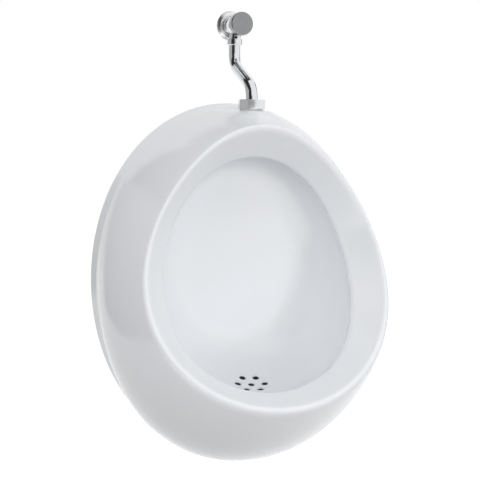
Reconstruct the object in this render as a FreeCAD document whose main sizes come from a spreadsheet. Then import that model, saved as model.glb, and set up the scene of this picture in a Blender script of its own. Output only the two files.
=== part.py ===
"""Wall hung urinal: egg shaped ceramic bowl, exposed flush pipe and a push button flush valve.

Frame: X to the right, +Z up, wall plane at Y = 0 and the front at -Y.  The origin is the
centre of the waste outlet where it meets the wall.  Lengths are in millimetres.
"""
import FreeCAD, Part
import math
import os
import Sketcher
from FreeCAD import Placement, Rotation, Vector

doc = FreeCAD.newDocument("wall_hung_urinal")
sheet = doc.addObject("Spreadsheet::Sheet", "Sizes")

SIZES = [
    # ceramic, outside
    ("body_height", 500, "height of the ceramic at the wall"),
    ("body_half_width", 197, "half the width at the wall"),
    ("bowl_floor_height", 19.4, "bowl floor above the waste outlet, control"),
    ("edge_band_depth", 22.6, "square band round the back edge"),
    ("edge_band_inset", 3.5, "how far that band leans in"),
    ("flank_swell_side", 7, "how far the side swells past the wall outline"),
    ("flank_drop_top", 6, "swell control below the top"),
    ("flank_drop_bottom", 11.6, "swell control below the bottom"),
    ("rim_setback_side", 35, "rim inside the wall outline, sides"),
    ("rim_setback_top", 28.6, "rim below the top"),
    ("rim_setback_bottom", 131.4, "rim above the bottom"),
    ("rim_depth_top", 142, "rim crest from the wall, top"),
    ("rim_depth_side", 165, "rim crest from the wall, sides"),
    ("rim_depth_bottom", 249, "rim crest from the wall, bottom lip"),
    ("rim_taper", 0.206, "how much wider the rim is at the bottom"),
    # ceramic, mouth and bowl
    ("lip_side", 34, "width of the inner slope, sides"),
    ("lip_top", 44, "width of the inner slope, top"),
    ("lip_bottom", 9, "height of the inner slope, bottom"),
    ("lip_fall_side", 41, "depth of the inner slope, sides"),
    ("lip_fall_top", 40, "depth of the inner slope, top"),
    ("lip_fall_bottom", 51, "depth of the inner slope, bottom"),
    ("bowl_swell", 22, "bowl wider than its mouth, control"),
    ("bowl_floor_drop", 27, "bowl floor below the mouth, control"),
    ("hollow_inset", 3, "lower back of the bowl inside its mouth, control"),
    ("hollow_drop", 8, "and below its floor, control"),
    ("hollow_lift_top", 5, "and in front of its back, top"),
    ("hollow_lift_side", 3, "and in front of its back, sides"),
    ("bowl_back_gap", 40, "back of the bowl from the wall"),
    ("bowl_back_half_width", 80, "flat back of the bowl"),
    ("wall_thickness", 11, "ceramic wall"),
    # drain and outlet in the ceramic
    ("drain_hole_diameter", 8.5, "one hole of the cast drain"),
    ("drain_hole_spacing", 18.5, "distance between neighbours"),
    ("drain_turn", -10, "pattern turned about the vertical, degrees"),
    ("drain_depth", 108, "middle of the drain from the wall"),
    ("sump_half_width", 30, "water space below the drain"),
    ("sump_length", 56, "front to back"),
    ("sump_fall", 24, "sump floor below the outlet axis"),
    ("sump_wall", 9, "ceramic round the sump"),
    ("horn_radius", 21, "outlet horn, outside"),
    ("horn_bore_radius", 15.5, "outlet horn, inside"),
    ("horn_length", 12, "horn beyond the sump wall"),
    # flush gallery in the ceramic
    ("inlet_depth", 86, "inlet axis from the wall"),
    ("inlet_seat_drop", 9.5, "nut seat below the top"),
    ("inlet_bore_radius", 14, "bore for the rubber bush"),
    ("inlet_boss_radius", 17, "raised seat round the bore"),
    ("gallery_half_width", 8, "flush gallery, inside"),
    ("gallery_arc_radius", 138, "arc of its centre line"),
    ("gallery_below_top", 41, "gallery centre line below the top"),
    ("gallery_half_angle", 34, "degrees each side"),
    ("flush_hole_diameter", 5, "spray hole"),
    ("flush_hole_count", 7, "spray holes"),
    ("flush_hole_margin", 4, "degrees kept free at each end of the gallery"),
    # hanging
    ("hanger_height", 96, "hanging ledge above the middle"),
    ("hanger_half_spacing", 92, "bracket from the centre line"),
    ("ledge_thickness", 14, "ceramic ledge"),
    ("ledge_reach", 32, "ledge from the wall"),
    ("slot_gap", 0.9, "play of a bracket's tongue in the ledge"),
    ("bracket_width", 30, "steel bracket"),
    ("bracket_steel", 3, "sheet thickness"),
    ("bracket_drop", 62, "plate below the ledge"),
    ("bracket_reach", 20, "arm from the wall"),
    ("bracket_tongue", 10, "upturned tongue"),
    ("screw_radius", 3, "wall screw, over its thread"),
    ("screw_neck_radius", 2.7, "plain neck under the head"),
    ("screw_thread_start", 1, "thread begins behind the wall plane"),
    ("screw_length", 55, "wall screw under the head"),
    ("screw_pitch", 36, "between the two screws of a bracket"),
    ("screw_top_offset", 14, "upper screw below the arm"),
    ("screw_head_radius", 5.8, "pan head"),
    ("screw_head_height", 3.6, "pan head"),
    ("washer_radius", 8, "plain washer"),
    ("washer_thickness", 1.6, "plain washer"),
    # inlet fittings
    ("spud_radius", 10.4, "threaded brass tube"),
    ("spud_bore_radius", 7.5, "its bore"),
    ("spud_length", 34, "tube length"),
    ("bush_flange", 1.6, "rubber bush flange under the nut"),
    ("nut_flats_radius", 17, "union nut, centre to flat"),
    ("nut_height", 14, "union nut"),
    ("nut_turn", 10, "nut turned about the inlet, degrees"),
    ("nut_web", 3, "closed top of the nut"),
    ("nut_corner_chamfer", 0.9, "turned corners"),
    ("pipe_radius", 8, "flush pipe, outside"),
    ("pipe_wall", 1, "flush pipe wall"),
    ("pipe_bend_radius", 24, "bend centre line"),
    ("pipe_lower_straight", 1.5, "above the seat in the nut"),
    ("pipe_upper_straight", 17.5, "below the valve, after the bends"),
    ("fit_gap", 0.3, "clearance between neighbours"),
    ("cut_over", 1, "how far a cutting tool runs past a face"),
    # flush valve
    ("valve_above_top", 106, "valve axis above the top of the ceramic"),
    ("branch_depth", 17.5, "outlet axis from the wall"),
    ("tail_radius", 10.48, "half inch thread into the wall"),
    ("tail_length", 16, "thread beyond the wall plane"),
    ("tail_bore_radius", 6, "water way"),
    ("barrel_radius", 13, "valve barrel"),
    ("barrel_length", 29, "barrel from the wall"),
    ("chamber_radius", 8.5, "bore of the barrel"),
    ("chamber_start", 4, "chamber reaches this far behind the wall plane"),
    ("seat_position", 11, "valve seat from the wall"),
    ("seat_thickness", 2, "valve seat"),
    ("seat_hole_radius", 5, "opening in the seat"),
    ("branch_radius", 8.6, "neck of the outlet"),
    ("branch_length", 20, "outlet face below the axis"),
    ("collar_radius", 10.5, "compression nut"),
    ("collar_height", 7, "compression nut"),
    ("flange_radius", 20.5, "wall flange"),
    ("flange_thickness", 5, "wall flange at its middle"),
    ("flange_edge", 1.6, "wall flange at its edge"),
    ("bonnet_radius", 12.5, "collar of the bonnet"),
    ("bonnet_collar", 3, "its thickness"),
    ("bonnet_neck_radius", 7, "guide neck"),
    ("bonnet_neck", 4, "its length"),
    ("bonnet_plug", 6, "threaded part in the barrel"),
    ("cap_radius", 15.6, "push button"),
    ("cap_back", 36, "back edge of the button from the wall"),
    ("cap_face", 47, "face of the button from the wall"),
    ("cap_wall", 1.8, "skirt of the button"),
    ("cap_crown", 3.5, "thickness of its face"),
    ("cap_edge_round", 1.2, "rounded edge of the face"),
    ("cap_dish", 0.6, "turned cone in the face"),
    ("button_travel", 6, "stroke of the button"),
    ("stem_radius", 2.5, "valve stem"),
    ("stem_clearance", 0.06, "running clearance of the stem"),
    ("poppet_radius", 7.4, "poppet disc"),
    ("poppet_thickness", 3, "poppet disc"),
    ("poppet_washer", 2.4, "rubber facing"),
    ("spring_wire", 1.2, "return spring"),
    ("spring_radius", 9.6, "return spring, middle of the wire"),
    ("spring_turns", 4, "return spring"),
    ("spring_steps", 14, "straight steps in one turn of it"),
    ("seal_wire", 0.8, "o-ring section radius"),
    ("strainer_thickness", 1.2, "inlet strainer"),
    # trap and waste pipe
    ("trap_depth", 30, "trap axis from the wall"),
    ("trap_radius", 24, "trap barrel, outside"),
    ("trap_wall", 2.2, "plastic wall"),
    ("trap_top", 28, "top above the outlet axis"),
    ("trap_bottom", 75, "bottom below the outlet axis"),
    ("cup_split", 43, "cup joint below the outlet axis"),
    ("cup_skirt", 11, "how far the cup's nut reaches up"),
    ("baffle_bottom", 62, "dip of the baffle"),
    ("baffle_thickness", 2.5, "baffle"),
    ("socket_length", 12, "socket over the horn"),
    ("socket_wall", 2.4, "socket"),
    ("socket_setback", 1.4, "its mouth from the sump"),
    ("horn_seal_thickness", 2, "rubber sleeve on the horn"),
    ("waste_radius", 20, "waste pipe, outside"),
    ("waste_wall", 1.8, "waste pipe"),
    ("waste_length", 45, "waste pipe beyond the wall plane"),
    ("waste_flange_radius", 24, "collar at the wall plane"),
    ("waste_flange", 3, "its thickness"),
]
CENTRE_HEIGHT = (
    "=bowl_floor_height + bowl_floor_drop + body_height / 2"
    " - rim_setback_bottom - lip_bottom"
)
SIZES += [
    ("body_centre_height", CENTRE_HEIGHT, "middle of the ceramic above the waste outlet"),
    ("valve_axis", "=body_centre_height + body_height / 2 + valve_above_top", "above the outlet"),
]
for row, (alias, value, note) in enumerate(SIZES, start=1):
    sheet.set("A%d" % row, alias)
    sheet.set("B%d" % row, str(value))
    sheet.set("C%d" % row, note)
    sheet.setAlias("B%d" % row, alias)
doc.recompute()


def size(alias):
    """Value of one cell, in millimetres, degrees or a plain ratio."""
    return float(getattr(sheet, alias))


def bind(thing, **formulas):
    """Tie properties of an object to formulas of the sheet's cells."""
    for prop, formula in formulas.items():
        thing.setExpression(prop, formula)
    return thing


PARTS = {}


def keep(thing, node):
    """Register a finished piece under its node name."""
    thing.Label = node
    PARTS[node] = thing
    return thing


# ---------------------------------------------------------------- small building blocks
def solid(kind, name, **formulas):
    return bind(doc.addObject("Part::" + kind, name), **formulas)


def cut(name, base, *tools):
    """base minus the tools, one boolean each."""
    for number, tool in enumerate(tools):
        step = doc.addObject("Part::Cut", "%s_cut%d" % (name, number))
        step.Base = base
        step.Tool = tool
        base = step
    return base


def fuse(name, *pieces):
    joined = doc.addObject("Part::MultiFuse", name)
    joined.Shapes = list(pieces)
    joined.Refine = True
    return joined


def place(thing, x="0", y="0", z="0"):
    """Bind an object's position to formulas."""
    thing.setExpression(".Placement.Base.x", x)
    thing.setExpression(".Placement.Base.y", y)
    thing.setExpression(".Placement.Base.z", z)
    return thing


def turn(thing, axis, angle):
    thing.Placement = Placement(thing.Placement.Base, Rotation(Vector(*axis), angle))
    return thing


def origin_plane(body, role):
    for feature in body.Origin.OriginFeatures:
        if feature.Role == role:
            return feature
    raise ValueError(role)


def sketch_on(body, name, role):
    sketch = body.newObject("Sketcher::SketchObject", name)
    sketch.AttachmentSupport = [(origin_plane(body, role), "")]
    sketch.MapMode = "FlatFace"
    return sketch


def outline_sketch(body, name, role, corners):
    """Closed outline whose corners are tied to pairs of formulas of the sheet."""
    sketch = sketch_on(body, name, role)
    count = len(corners)
    spots = [Vector(math.cos(i), math.sin(i) * 0.9, 0) * (20 + i) for i in range(count)]
    for i in range(count):
        sketch.addGeometry(Part.LineSegment(spots[i], spots[(i + 1) % count]), False)
    for i in range(count):
        sketch.addConstraint(Sketcher.Constraint("Coincident", i, 2, (i + 1) % count, 1))
    for i, (across, along) in enumerate(corners):
        for kind, formula in (("DistanceX", across), ("DistanceY", along)):
            number = sketch.addConstraint(Sketcher.Constraint(kind, -1, 1, i, 1, 1.0 + i))
            sketch.setExpression("Constraints[%d]" % number, formula)
    return sketch


def turned(node, corners):
    """Body of revolution about its own Z: corners are (radius, height) formulas."""
    body = doc.addObject("PartDesign::Body", node + "_body")
    sketch = outline_sketch(body, node + "_profile", "XZ_Plane", corners)
    doc.recompute()
    revolve = body.newObject("PartDesign::Revolution", node + "_turned")
    revolve.Profile = sketch
    revolve.ReferenceAxis = (sketch, ["V_Axis"])
    revolve.Angle = 360
    doc.recompute()
    return keep(body, node)


def face_wall(body, height="0"):
    """Stand a turned piece on the valve axis: its own Z points out of the wall."""
    turn(body, (1, 0, 0), 90)
    place(body, y="-(%s)" % height, z="Sizes.valve_axis")
    return body


# ---------------------------------------------------------------- ceramic: egg shaped rings
RING_POINTS = 12
DRAFT_POINT = 0.86      # where the rounding of the back edge starts on the band
FLANK_START = 0.03      # where it ends on the flank
CREST_START = 0.95      # crest rounding on the flank
CREST_END = 0.22        # and on the inner slope
MOUTH_START = 0.86      # mouth rounding on the inner slope
MOUTH_END = 0.06        # and in the bowl
WALL_TAPER = -0.022     # the outline at the wall is a little wider above its middle
WALL_FULLNESS = 0.022
FLANK_TAPER = 0.5       # shares of the rim's taper
MOUTH_TAPER = 0.72
BELLY_TAPER = 0.63
HOLLOW_TAPER = 0.49
BACK_TAPER = 0.25
RIM_FULLNESS = -0.025
MOUTH_FULLNESS = 0.084
BELLY_FULLNESS = 0.06
HOLLOW_FULLNESS = 0.05
BELLY_RISE = 0.86       # shares of the bowl's swell
HOLLOW_RISE = 0.6
BELLY_DEPTHS = (0.83, 0.81, 0.83)       # shares of the mouth's depths
BACK_TOP = 0.73         # shares of the mouth's top and bottom
BACK_BOTTOM = 0.75
CORE_END = 0.72         # share of the flank where the hollow behind it closes
MIDDLE = size("body_centre_height")


def outline(half_width, top, bottom, taper, fullness, depths):
    """Egg outline: top and bottom from the middle, depths at top, sides and bottom."""
    depth_top, depth_side, depth_bottom = depths
    return {
        "half_width": half_width,
        "centre": (top + bottom) / 2,
        "half_height": (top - bottom) / 2,
        "taper": taper,
        "fullness": fullness,
        "side": depth_side,
        "tilt": (depth_top - depth_bottom) / 2,
        "bow": (depth_top + depth_bottom) / 2 - depth_side,
    }


def ring(egg):
    """Points round an outline, starting at the bottom."""
    points = []
    for i in range(RING_POINTS):
        angle = 2 * math.pi * i / RING_POINTS - math.pi / 2
        up = math.sin(angle)
        width = egg["half_width"] * (1 - egg["taper"] * up + egg["fullness"] * up * up)
        depth = egg["side"] + egg["tilt"] * up + egg["bow"] * up * up
        height = MIDDLE + egg["centre"] + egg["half_height"] * up
        points.append(Vector(width * math.cos(angle), -depth, height))
    return points


def blend(first, second, share):
    return [a * (1 - share) + b * share for a, b in zip(first, second)]


def split(rings, share):
    """Both halves of a Bezier row of rings, cut at a share of its length."""
    left = [rings[0]]
    right = [rings[-1]]
    while len(rings) > 1:
        rings = [blend(a, b, share) for a, b in zip(rings, rings[1:])]
        left.append(rings[0])
        right.insert(0, rings[-1])
    return left, right


def stretch(rings, start, end):
    """The row between two shares of its length."""
    after = split(rings, start)[1]
    if end >= 1:
        return after
    return split(after, (end - start) / (1 - start))[0]


def ring_curve(points):
    curve = Part.BSplineCurve()
    steps = [i / RING_POINTS for i in range(RING_POINTS + 1)]
    curve.interpolate(Points=points, PeriodicFlag=True, Parameters=steps)
    return curve


def strip(first, second):
    """Ruled face between two rings."""
    curves = [ring_curve(first), ring_curve(second)]
    poles = [list(pair) for pair in zip(curves[0].getPoles(), curves[1].getPoles())]
    surface = Part.BSplineSurface()
    surface.buildFromPolesMultsKnots(
        poles,
        curves[0].getMultiplicities(),
        [2, 2],
        curves[0].getKnots(),
        [0.0, 1.0],
        True,
        False,
        curves[0].Degree,
        1,
    )
    return surface.toShape()


def ring_solid(rows):
    """Closed solid through rows of (rings, number of strips); its two ends are flat."""
    stations = [rows[0][0][0]]
    for rings, count in rows:
        for i in range(1, count + 1):
            stations.append(split(rings, i / count)[0][-1])
    faces = [strip(a, b) for a, b in zip(stations, stations[1:])]
    for end in (stations[0], stations[-1]):
        faces.append(Part.Face(Part.Wire([ring_curve(end).toShape()])))
    shell = Part.makeShell(faces)
    shell.sewShape()
    result = Part.makeSolid(shell)
    if result.Volume < 0:
        result.reverse()
    return result


def ceramic_outlines(grow=0.0, recess=0.0):
    """The rings of the ceramic.  grow moves the outside in; recess moves the bowl out."""
    half = size("body_half_width") - grow
    top = size("body_height") / 2 - grow
    bottom = -size("body_height") / 2 + grow
    inset = size("edge_band_inset")
    band = size("edge_band_depth")
    setback = size("rim_setback_side")
    rim_top = top - size("rim_setback_top")
    rim_bottom = bottom + size("rim_setback_bottom")
    rim_depths = [size("rim_depth_" + part) for part in ("top", "side", "bottom")]
    taper = size("rim_taper")
    falls = [size("lip_fall_" + part) for part in ("top", "side", "bottom")]
    mouth_depths = [a - b for a, b in zip(rim_depths, falls)]
    back = size("bowl_back_gap") - recess
    swell = size("bowl_swell")
    mouth_half = half + grow - setback - size("lip_side") + recess
    mouth_top = rim_top + grow - size("lip_top") + recess
    mouth_bottom = rim_bottom - grow + size("lip_bottom") - recess
    floor = mouth_bottom - size("bowl_floor_drop")
    rings = {
        "wall": outline(half, top, bottom, WALL_TAPER, WALL_FULLNESS, (0, 0, 0)),
        "shoulder": outline(
            half - inset, top - inset, bottom + inset, WALL_TAPER, WALL_FULLNESS, [band] * 3
        ),
        "flank": outline(
            half + size("flank_swell_side"),
            top - size("flank_drop_top"),
            bottom - size("flank_drop_bottom"),
            taper * FLANK_TAPER,
            0,
            [(band + depth) / 2 for depth in rim_depths],
        ),
        "rim": outline(half - setback, rim_top, rim_bottom, taper, RIM_FULLNESS, rim_depths),
        "mouth": outline(
            mouth_half,
            mouth_top,
            mouth_bottom,
            taper * MOUTH_TAPER,
            MOUTH_FULLNESS,
            mouth_depths,
        ),
        "belly": outline(
            mouth_half + swell,
            mouth_top + swell * BELLY_RISE,
            floor,
            taper * BELLY_TAPER,
            BELLY_FULLNESS,
            [depth * share for depth, share in zip(mouth_depths, BELLY_DEPTHS)],
        ),
        "hollow": outline(
            mouth_half - size("hollow_inset"),
            mouth_top + swell * HOLLOW_RISE,
            floor - size("hollow_drop"),
            taper * HOLLOW_TAPER,
            HOLLOW_FULLNESS,
            (back + size("hollow_lift_top"), back + size("hollow_lift_side"), back * 2),
        ),
        "back": outline(
            size("bowl_back_half_width") + recess,
            mouth_top * BACK_TOP,
            mouth_bottom * BACK_BOTTOM,
            taper * BACK_TAPER,
            0,
            [back] * 3,
        ),
    }
    return {name: ring(egg) for name, egg in rings.items()}


def outer_ceramic():
    """Outside, rolled rim and bowl as one closed shell."""
    egg = ceramic_outlines()
    flank = stretch([egg["shoulder"], egg["flank"], egg["rim"]], FLANK_START, CREST_START)
    slope = stretch([egg["rim"], egg["mouth"]], CREST_END, MOUTH_START)
    bowl = stretch([egg["mouth"], egg["belly"], egg["hollow"], egg["back"]], MOUTH_END, 1)
    band = stretch([egg["wall"], egg["shoulder"]], 0, DRAFT_POINT)
    return ring_solid([
        (band, 1),
        ([band[-1], egg["shoulder"], flank[0]], 2),
        (flank, 5),
        ([flank[-1], egg["rim"], slope[0]], 4),
        (slope, 1),
        ([slope[-1], egg["mouth"], bowl[0]], 2),
        (bowl, 7),
    ])


def hollow_core():
    """Space inside the outer wall, open at the back, before the bowl takes its place."""
    egg = ceramic_outlines(grow=size("wall_thickness"))
    flank = stretch([egg["shoulder"], egg["flank"], egg["rim"]], 0, CORE_END)
    behind = [Vector(p.x, 5 * size("cut_over"), p.z) for p in egg["wall"]]
    depth = size("bowl_back_gap") * 1.5
    centre = [Vector(p.x / 2, -depth, (p.z + MIDDLE) / 2) for p in egg["back"]]
    return ring_solid([
        ([behind, egg["wall"]], 1),
        ([egg["wall"], egg["shoulder"]], 1),
        (flank, 3),
        ([flank[-1], centre], 1),
    ])


def bowl_outside():
    """The bowl grown by the wall thickness."""
    egg = ceramic_outlines(recess=size("wall_thickness"))
    rim = [Vector(p.x, p.y - 2 * size("wall_thickness"), p.z) for p in egg["mouth"]]
    front = [Vector(p.x, -size("rim_depth_bottom") * 1.2, p.z) for p in egg["mouth"]]
    return ring_solid([
        ([front, rim], 1),
        ([rim, egg["mouth"]], 1),
        ([egg["mouth"], egg["belly"], egg["hollow"], egg["back"]], 5),
    ])


def shape_feature(name, shape):
    feature = doc.addObject("Part::Feature", name)
    feature.Shape = shape
    return feature


# ---------------------------------------------------------------- ceramic: water ways
SUMP_FRONT = "-(Sizes.drain_depth + Sizes.sump_length / 2)"
SUMP_BACK = "-(Sizes.drain_depth - Sizes.sump_length / 2)"
SUMP_TOP = "(Sizes.bowl_floor_height + Sizes.wall_thickness / 2)"
NUT_SEAT = "Sizes.body_centre_height + Sizes.body_height / 2 - Sizes.inlet_seat_drop"
GALLERY_CENTRE = (
    "Sizes.body_centre_height + Sizes.body_height / 2 - Sizes.gallery_below_top"
    " - Sizes.gallery_arc_radius"
)
LEDGE_HEIGHT = "Sizes.body_centre_height + Sizes.hanger_height"


def sump_box(name, wall, top):
    """Box below the drain, grown by a wall."""
    box = solid(
        "Box",
        name,
        Length="2 * (Sizes.sump_half_width + %s)" % wall,
        Width="Sizes.sump_length + 2 * (%s)" % wall,
        Height="%s + Sizes.sump_fall + %s" % (top, wall),
    )
    return place(
        box,
        "-(Sizes.sump_half_width + %s)" % wall,
        SUMP_FRONT + " - %s" % wall,
        "-(Sizes.sump_fall + %s)" % wall,
    )


def rod_along_y(name, radius, front, length, x="0", z="0"):
    """Cylinder from y = front towards the wall."""
    rod = solid("Cylinder", name, Radius=radius, Height=length)
    turn(rod, (1, 0, 0), -90)
    return place(rod, x, front, z)


def upright(name, radius, bottom, length, x="0", y="0"):
    rod = solid("Cylinder", name, Radius=radius, Height=length)
    return place(rod, x, y, bottom)


def gallery(name, half_width):
    """Arched channel of square section over the bowl, in the plane of the inlet."""
    pieces = []
    for tag, radius in (("outside", "+"), ("inside", "-")):
        sector = solid("Cylinder", "%s_%s" % (name, tag), Height="2 * (%s)" % half_width)
        bind(sector, Radius="Sizes.gallery_arc_radius %s (%s)" % (radius, half_width))
        bind(sector, Angle="2 * Sizes.gallery_half_angle")
        centred = Rotation(Vector(0, 0, 1), 90 - size("gallery_half_angle"))
        sector.Placement = Placement(Vector(), Rotation(Vector(1, 0, 0), 90).multiply(centred))
        place(sector, "0", "-Sizes.inlet_depth + " + half_width, GALLERY_CENTRE)
        pieces.append(sector)
    return cut(name, *pieces)


def flush_holes():
    """Spray holes from the gallery down into the bowl, all aimed at its middle."""
    holes = []
    count = int(size("flush_hole_count"))
    spread = 2 * (size("gallery_half_angle") - size("flush_hole_margin"))
    for i in range(count):
        angle = spread * (i / (count - 1) - 0.5)
        hole = solid(
            "Cylinder",
            "flush_hole_%d" % i,
            Radius="Sizes.flush_hole_diameter / 2",
            Height="Sizes.gallery_half_width + 4 * Sizes.wall_thickness",
        )
        hole.Placement = Placement(Vector(), Rotation(Vector(0, 1, 0), 180 + angle))
        sine = math.sin(math.radians(angle))
        cosine = math.cos(math.radians(angle))
        place(
            hole,
            "Sizes.gallery_arc_radius * %.6f" % sine,
            "-Sizes.inlet_depth",
            GALLERY_CENTRE + " + Sizes.gallery_arc_radius * %.6f" % cosine,
        )
        holes.append(hole)
    return holes


def drain_holes():
    """One hole with six neighbours round it."""
    holes = []
    spots = [(0, 0)]
    for i in range(6):
        angle = math.radians(60 * i + size("drain_turn"))
        spots.append((math.cos(angle), math.sin(angle)))
    for i, (across, along) in enumerate(spots):
        holes.append(
            upright(
                "drain_hole_%d" % i,
                "Sizes.drain_hole_diameter / 2",
                "0",
                "Sizes.bowl_floor_height + 3 * Sizes.wall_thickness",
                "Sizes.drain_hole_spacing * %.6f" % across,
                "Sizes.drain_hole_spacing * %.6f - Sizes.drain_depth" % along,
            )
        )
    return holes


def hanging_ledge():
    """Ledge across the back, with a slot for each bracket's tongue."""
    ledge = solid(
        "Box",
        "ledge",
        Length="2 * Sizes.body_half_width",
        Width="Sizes.ledge_reach",
        Height="Sizes.ledge_thickness",
    )
    place(ledge, "-Sizes.body_half_width", "-Sizes.ledge_reach - Sizes.bracket_steel", LEDGE_HEIGHT)
    slots = []
    for side in (-1, 1):
        slot = solid(
            "Box",
            "ledge_slot",
            Length="Sizes.bracket_width + 2 * Sizes.slot_gap",
            Width="Sizes.bracket_steel + 2 * Sizes.slot_gap",
            Height="3 * Sizes.ledge_thickness",
        )
        place(
            slot,
            "%d * Sizes.hanger_half_spacing - Sizes.bracket_width / 2 - Sizes.slot_gap" % side,
            "-Sizes.bracket_reach - Sizes.slot_gap",
            LEDGE_HEIGHT + " - Sizes.ledge_thickness",
        )
        slots.append(slot)
    return ledge, slots


def make_ceramic():
    """The ware is cast as an outer shell, a bowl and an outlet, joined before firing."""
    outer = shape_feature("ceramic_outside", outer_ceramic())
    core = shape_feature("back_space", hollow_core())
    bowl = shape_feature("bowl_outside", bowl_outside())
    ledge, slots = hanging_ledge()
    horn_front = SUMP_BACK + " - Sizes.sump_wall / 2"
    horn_reach = "Sizes.sump_wall * 1.5 + Sizes.horn_length"
    inner_ribs = fuse(
        "inner_ribs",
        gallery("gallery_walls", "(Sizes.gallery_half_width + Sizes.wall_thickness)"),
        upright(
            "inlet_boss_inside",
            "Sizes.inlet_boss_radius + Sizes.wall_thickness / 2",
            NUT_SEAT + " - 4 * Sizes.wall_thickness",
            "4 * Sizes.wall_thickness",
            y="-Sizes.inlet_depth",
        ),
        ledge,
    )
    boss = solid(
        "Cone",
        "inlet_boss",
        Radius1="Sizes.inlet_boss_radius + Sizes.wall_thickness",
        Radius2="Sizes.inlet_boss_radius",
        Height="Sizes.wall_thickness",
    )
    place(boss, "0", "-Sizes.inlet_depth", NUT_SEAT + " - Sizes.wall_thickness")
    seat_clear = upright(
        "seat_face",
        "Sizes.nut_flats_radius * 1.2",
        NUT_SEAT,
        "4 * Sizes.wall_thickness",
        y="-Sizes.inlet_depth",
    )
    inlet_bore = upright(
        "inlet_bore",
        "Sizes.inlet_bore_radius",
        GALLERY_CENTRE + " + Sizes.gallery_arc_radius",
        "4 * Sizes.wall_thickness",
        y="-Sizes.inlet_depth",
    )
    horn_bore = rod_along_y(
        "horn_bore",
        "Sizes.horn_bore_radius",
        SUMP_BACK + " - Sizes.sump_wall",
        "Sizes.sump_wall * 3 + Sizes.horn_length",
    )
    channel = gallery("gallery", "Sizes.gallery_half_width")

    behind = cut("behind", core, inner_ribs)
    walls = fuse("shell_with_boss", cut("outside_walls", outer, behind, bowl), boss)
    shell_cuts = [seat_clear, inlet_bore, channel] + slots
    keep(cut("shell", walls, *shell_cuts), "ceramic_shell")

    basin = doc.addObject("Part::Common", "basin")
    basin.Base = outer
    basin.Tool = bowl
    keep(cut("bowl", basin, channel, *(flush_holes() + drain_holes())), "ceramic_bowl")

    sump = fuse(
        "sump_and_horn",
        sump_box("sump_walls", "Sizes.sump_wall", SUMP_TOP),
        rod_along_y("horn", "Sizes.horn_radius", horn_front, horn_reach),
    )
    inside = doc.addObject("Part::Common", "sump_inside")
    inside.Base = sump
    inside.Tool = core
    water = sump_box("sump", "0", SUMP_TOP)
    keep(cut("outlet", inside, bowl, water, horn_bore), "ceramic_outlet")


# ---------------------------------------------------------------- hanging brackets
def bracket_screw_heights():
    first = LEDGE_HEIGHT + " - Sizes.bracket_steel - Sizes.screw_top_offset"
    return [first, first + " - Sizes.screw_pitch"]


def make_bracket(side, node):
    """Bent steel plate: wall plate, arm under the ledge and upturned tongue."""
    body = doc.addObject("PartDesign::Body", node + "_body")
    steel = "Sizes.bracket_steel"
    corners = [
        ("0", "-Sizes.bracket_drop"),
        ("0", "0"),
        ("-Sizes.bracket_reach + " + steel, "0"),
        ("-Sizes.bracket_reach + " + steel, "Sizes.bracket_tongue"),
        ("-Sizes.bracket_reach", "Sizes.bracket_tongue"),
        ("-Sizes.bracket_reach", "-" + steel),
        ("-" + steel, "-" + steel),
        ("-" + steel, "-Sizes.bracket_drop"),
    ]
    profile = outline_sketch(body, node + "_profile", "YZ_Plane", corners)
    pad = body.newObject("PartDesign::Pad", node + "_bent_plate")
    pad.Profile = profile
    bind(pad, Length="Sizes.bracket_width")
    pad.Midplane = True
    doc.recompute()
    holes = sketch_on(body, node + "_holes", "XZ_Plane")
    radius = size("screw_radius") + size("fit_gap")
    for i in range(2):
        drop = "-Sizes.bracket_steel - Sizes.screw_top_offset - %d * Sizes.screw_pitch" % i
        start = -size("bracket_steel") - size("screw_top_offset") - i * size("screw_pitch")
        holes.addGeometry(Part.Circle(Vector(0, start, 0), Vector(0, 0, 1), radius), False)
        holes.addConstraint(Sketcher.Constraint("PointOnObject", i, 3, -2))
        number = holes.addConstraint(Sketcher.Constraint("DistanceY", -1, 1, i, 3, start))
        holes.setExpression("Constraints[%d]" % number, drop)
        number = holes.addConstraint(Sketcher.Constraint("Radius", i, radius))
        holes.setExpression("Constraints[%d]" % number, "Sizes.screw_radius + Sizes.fit_gap")
    doc.recompute()
    pocket = body.newObject("PartDesign::Pocket", node + "_screw_holes")
    pocket.Profile = holes
    bind(pocket, Length="4 * Sizes.bracket_steel")
    pocket.Midplane = True
    doc.recompute()
    place(body, "%d * Sizes.hanger_half_spacing" % side, "0", LEDGE_HEIGHT)
    return keep(body, node)


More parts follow.
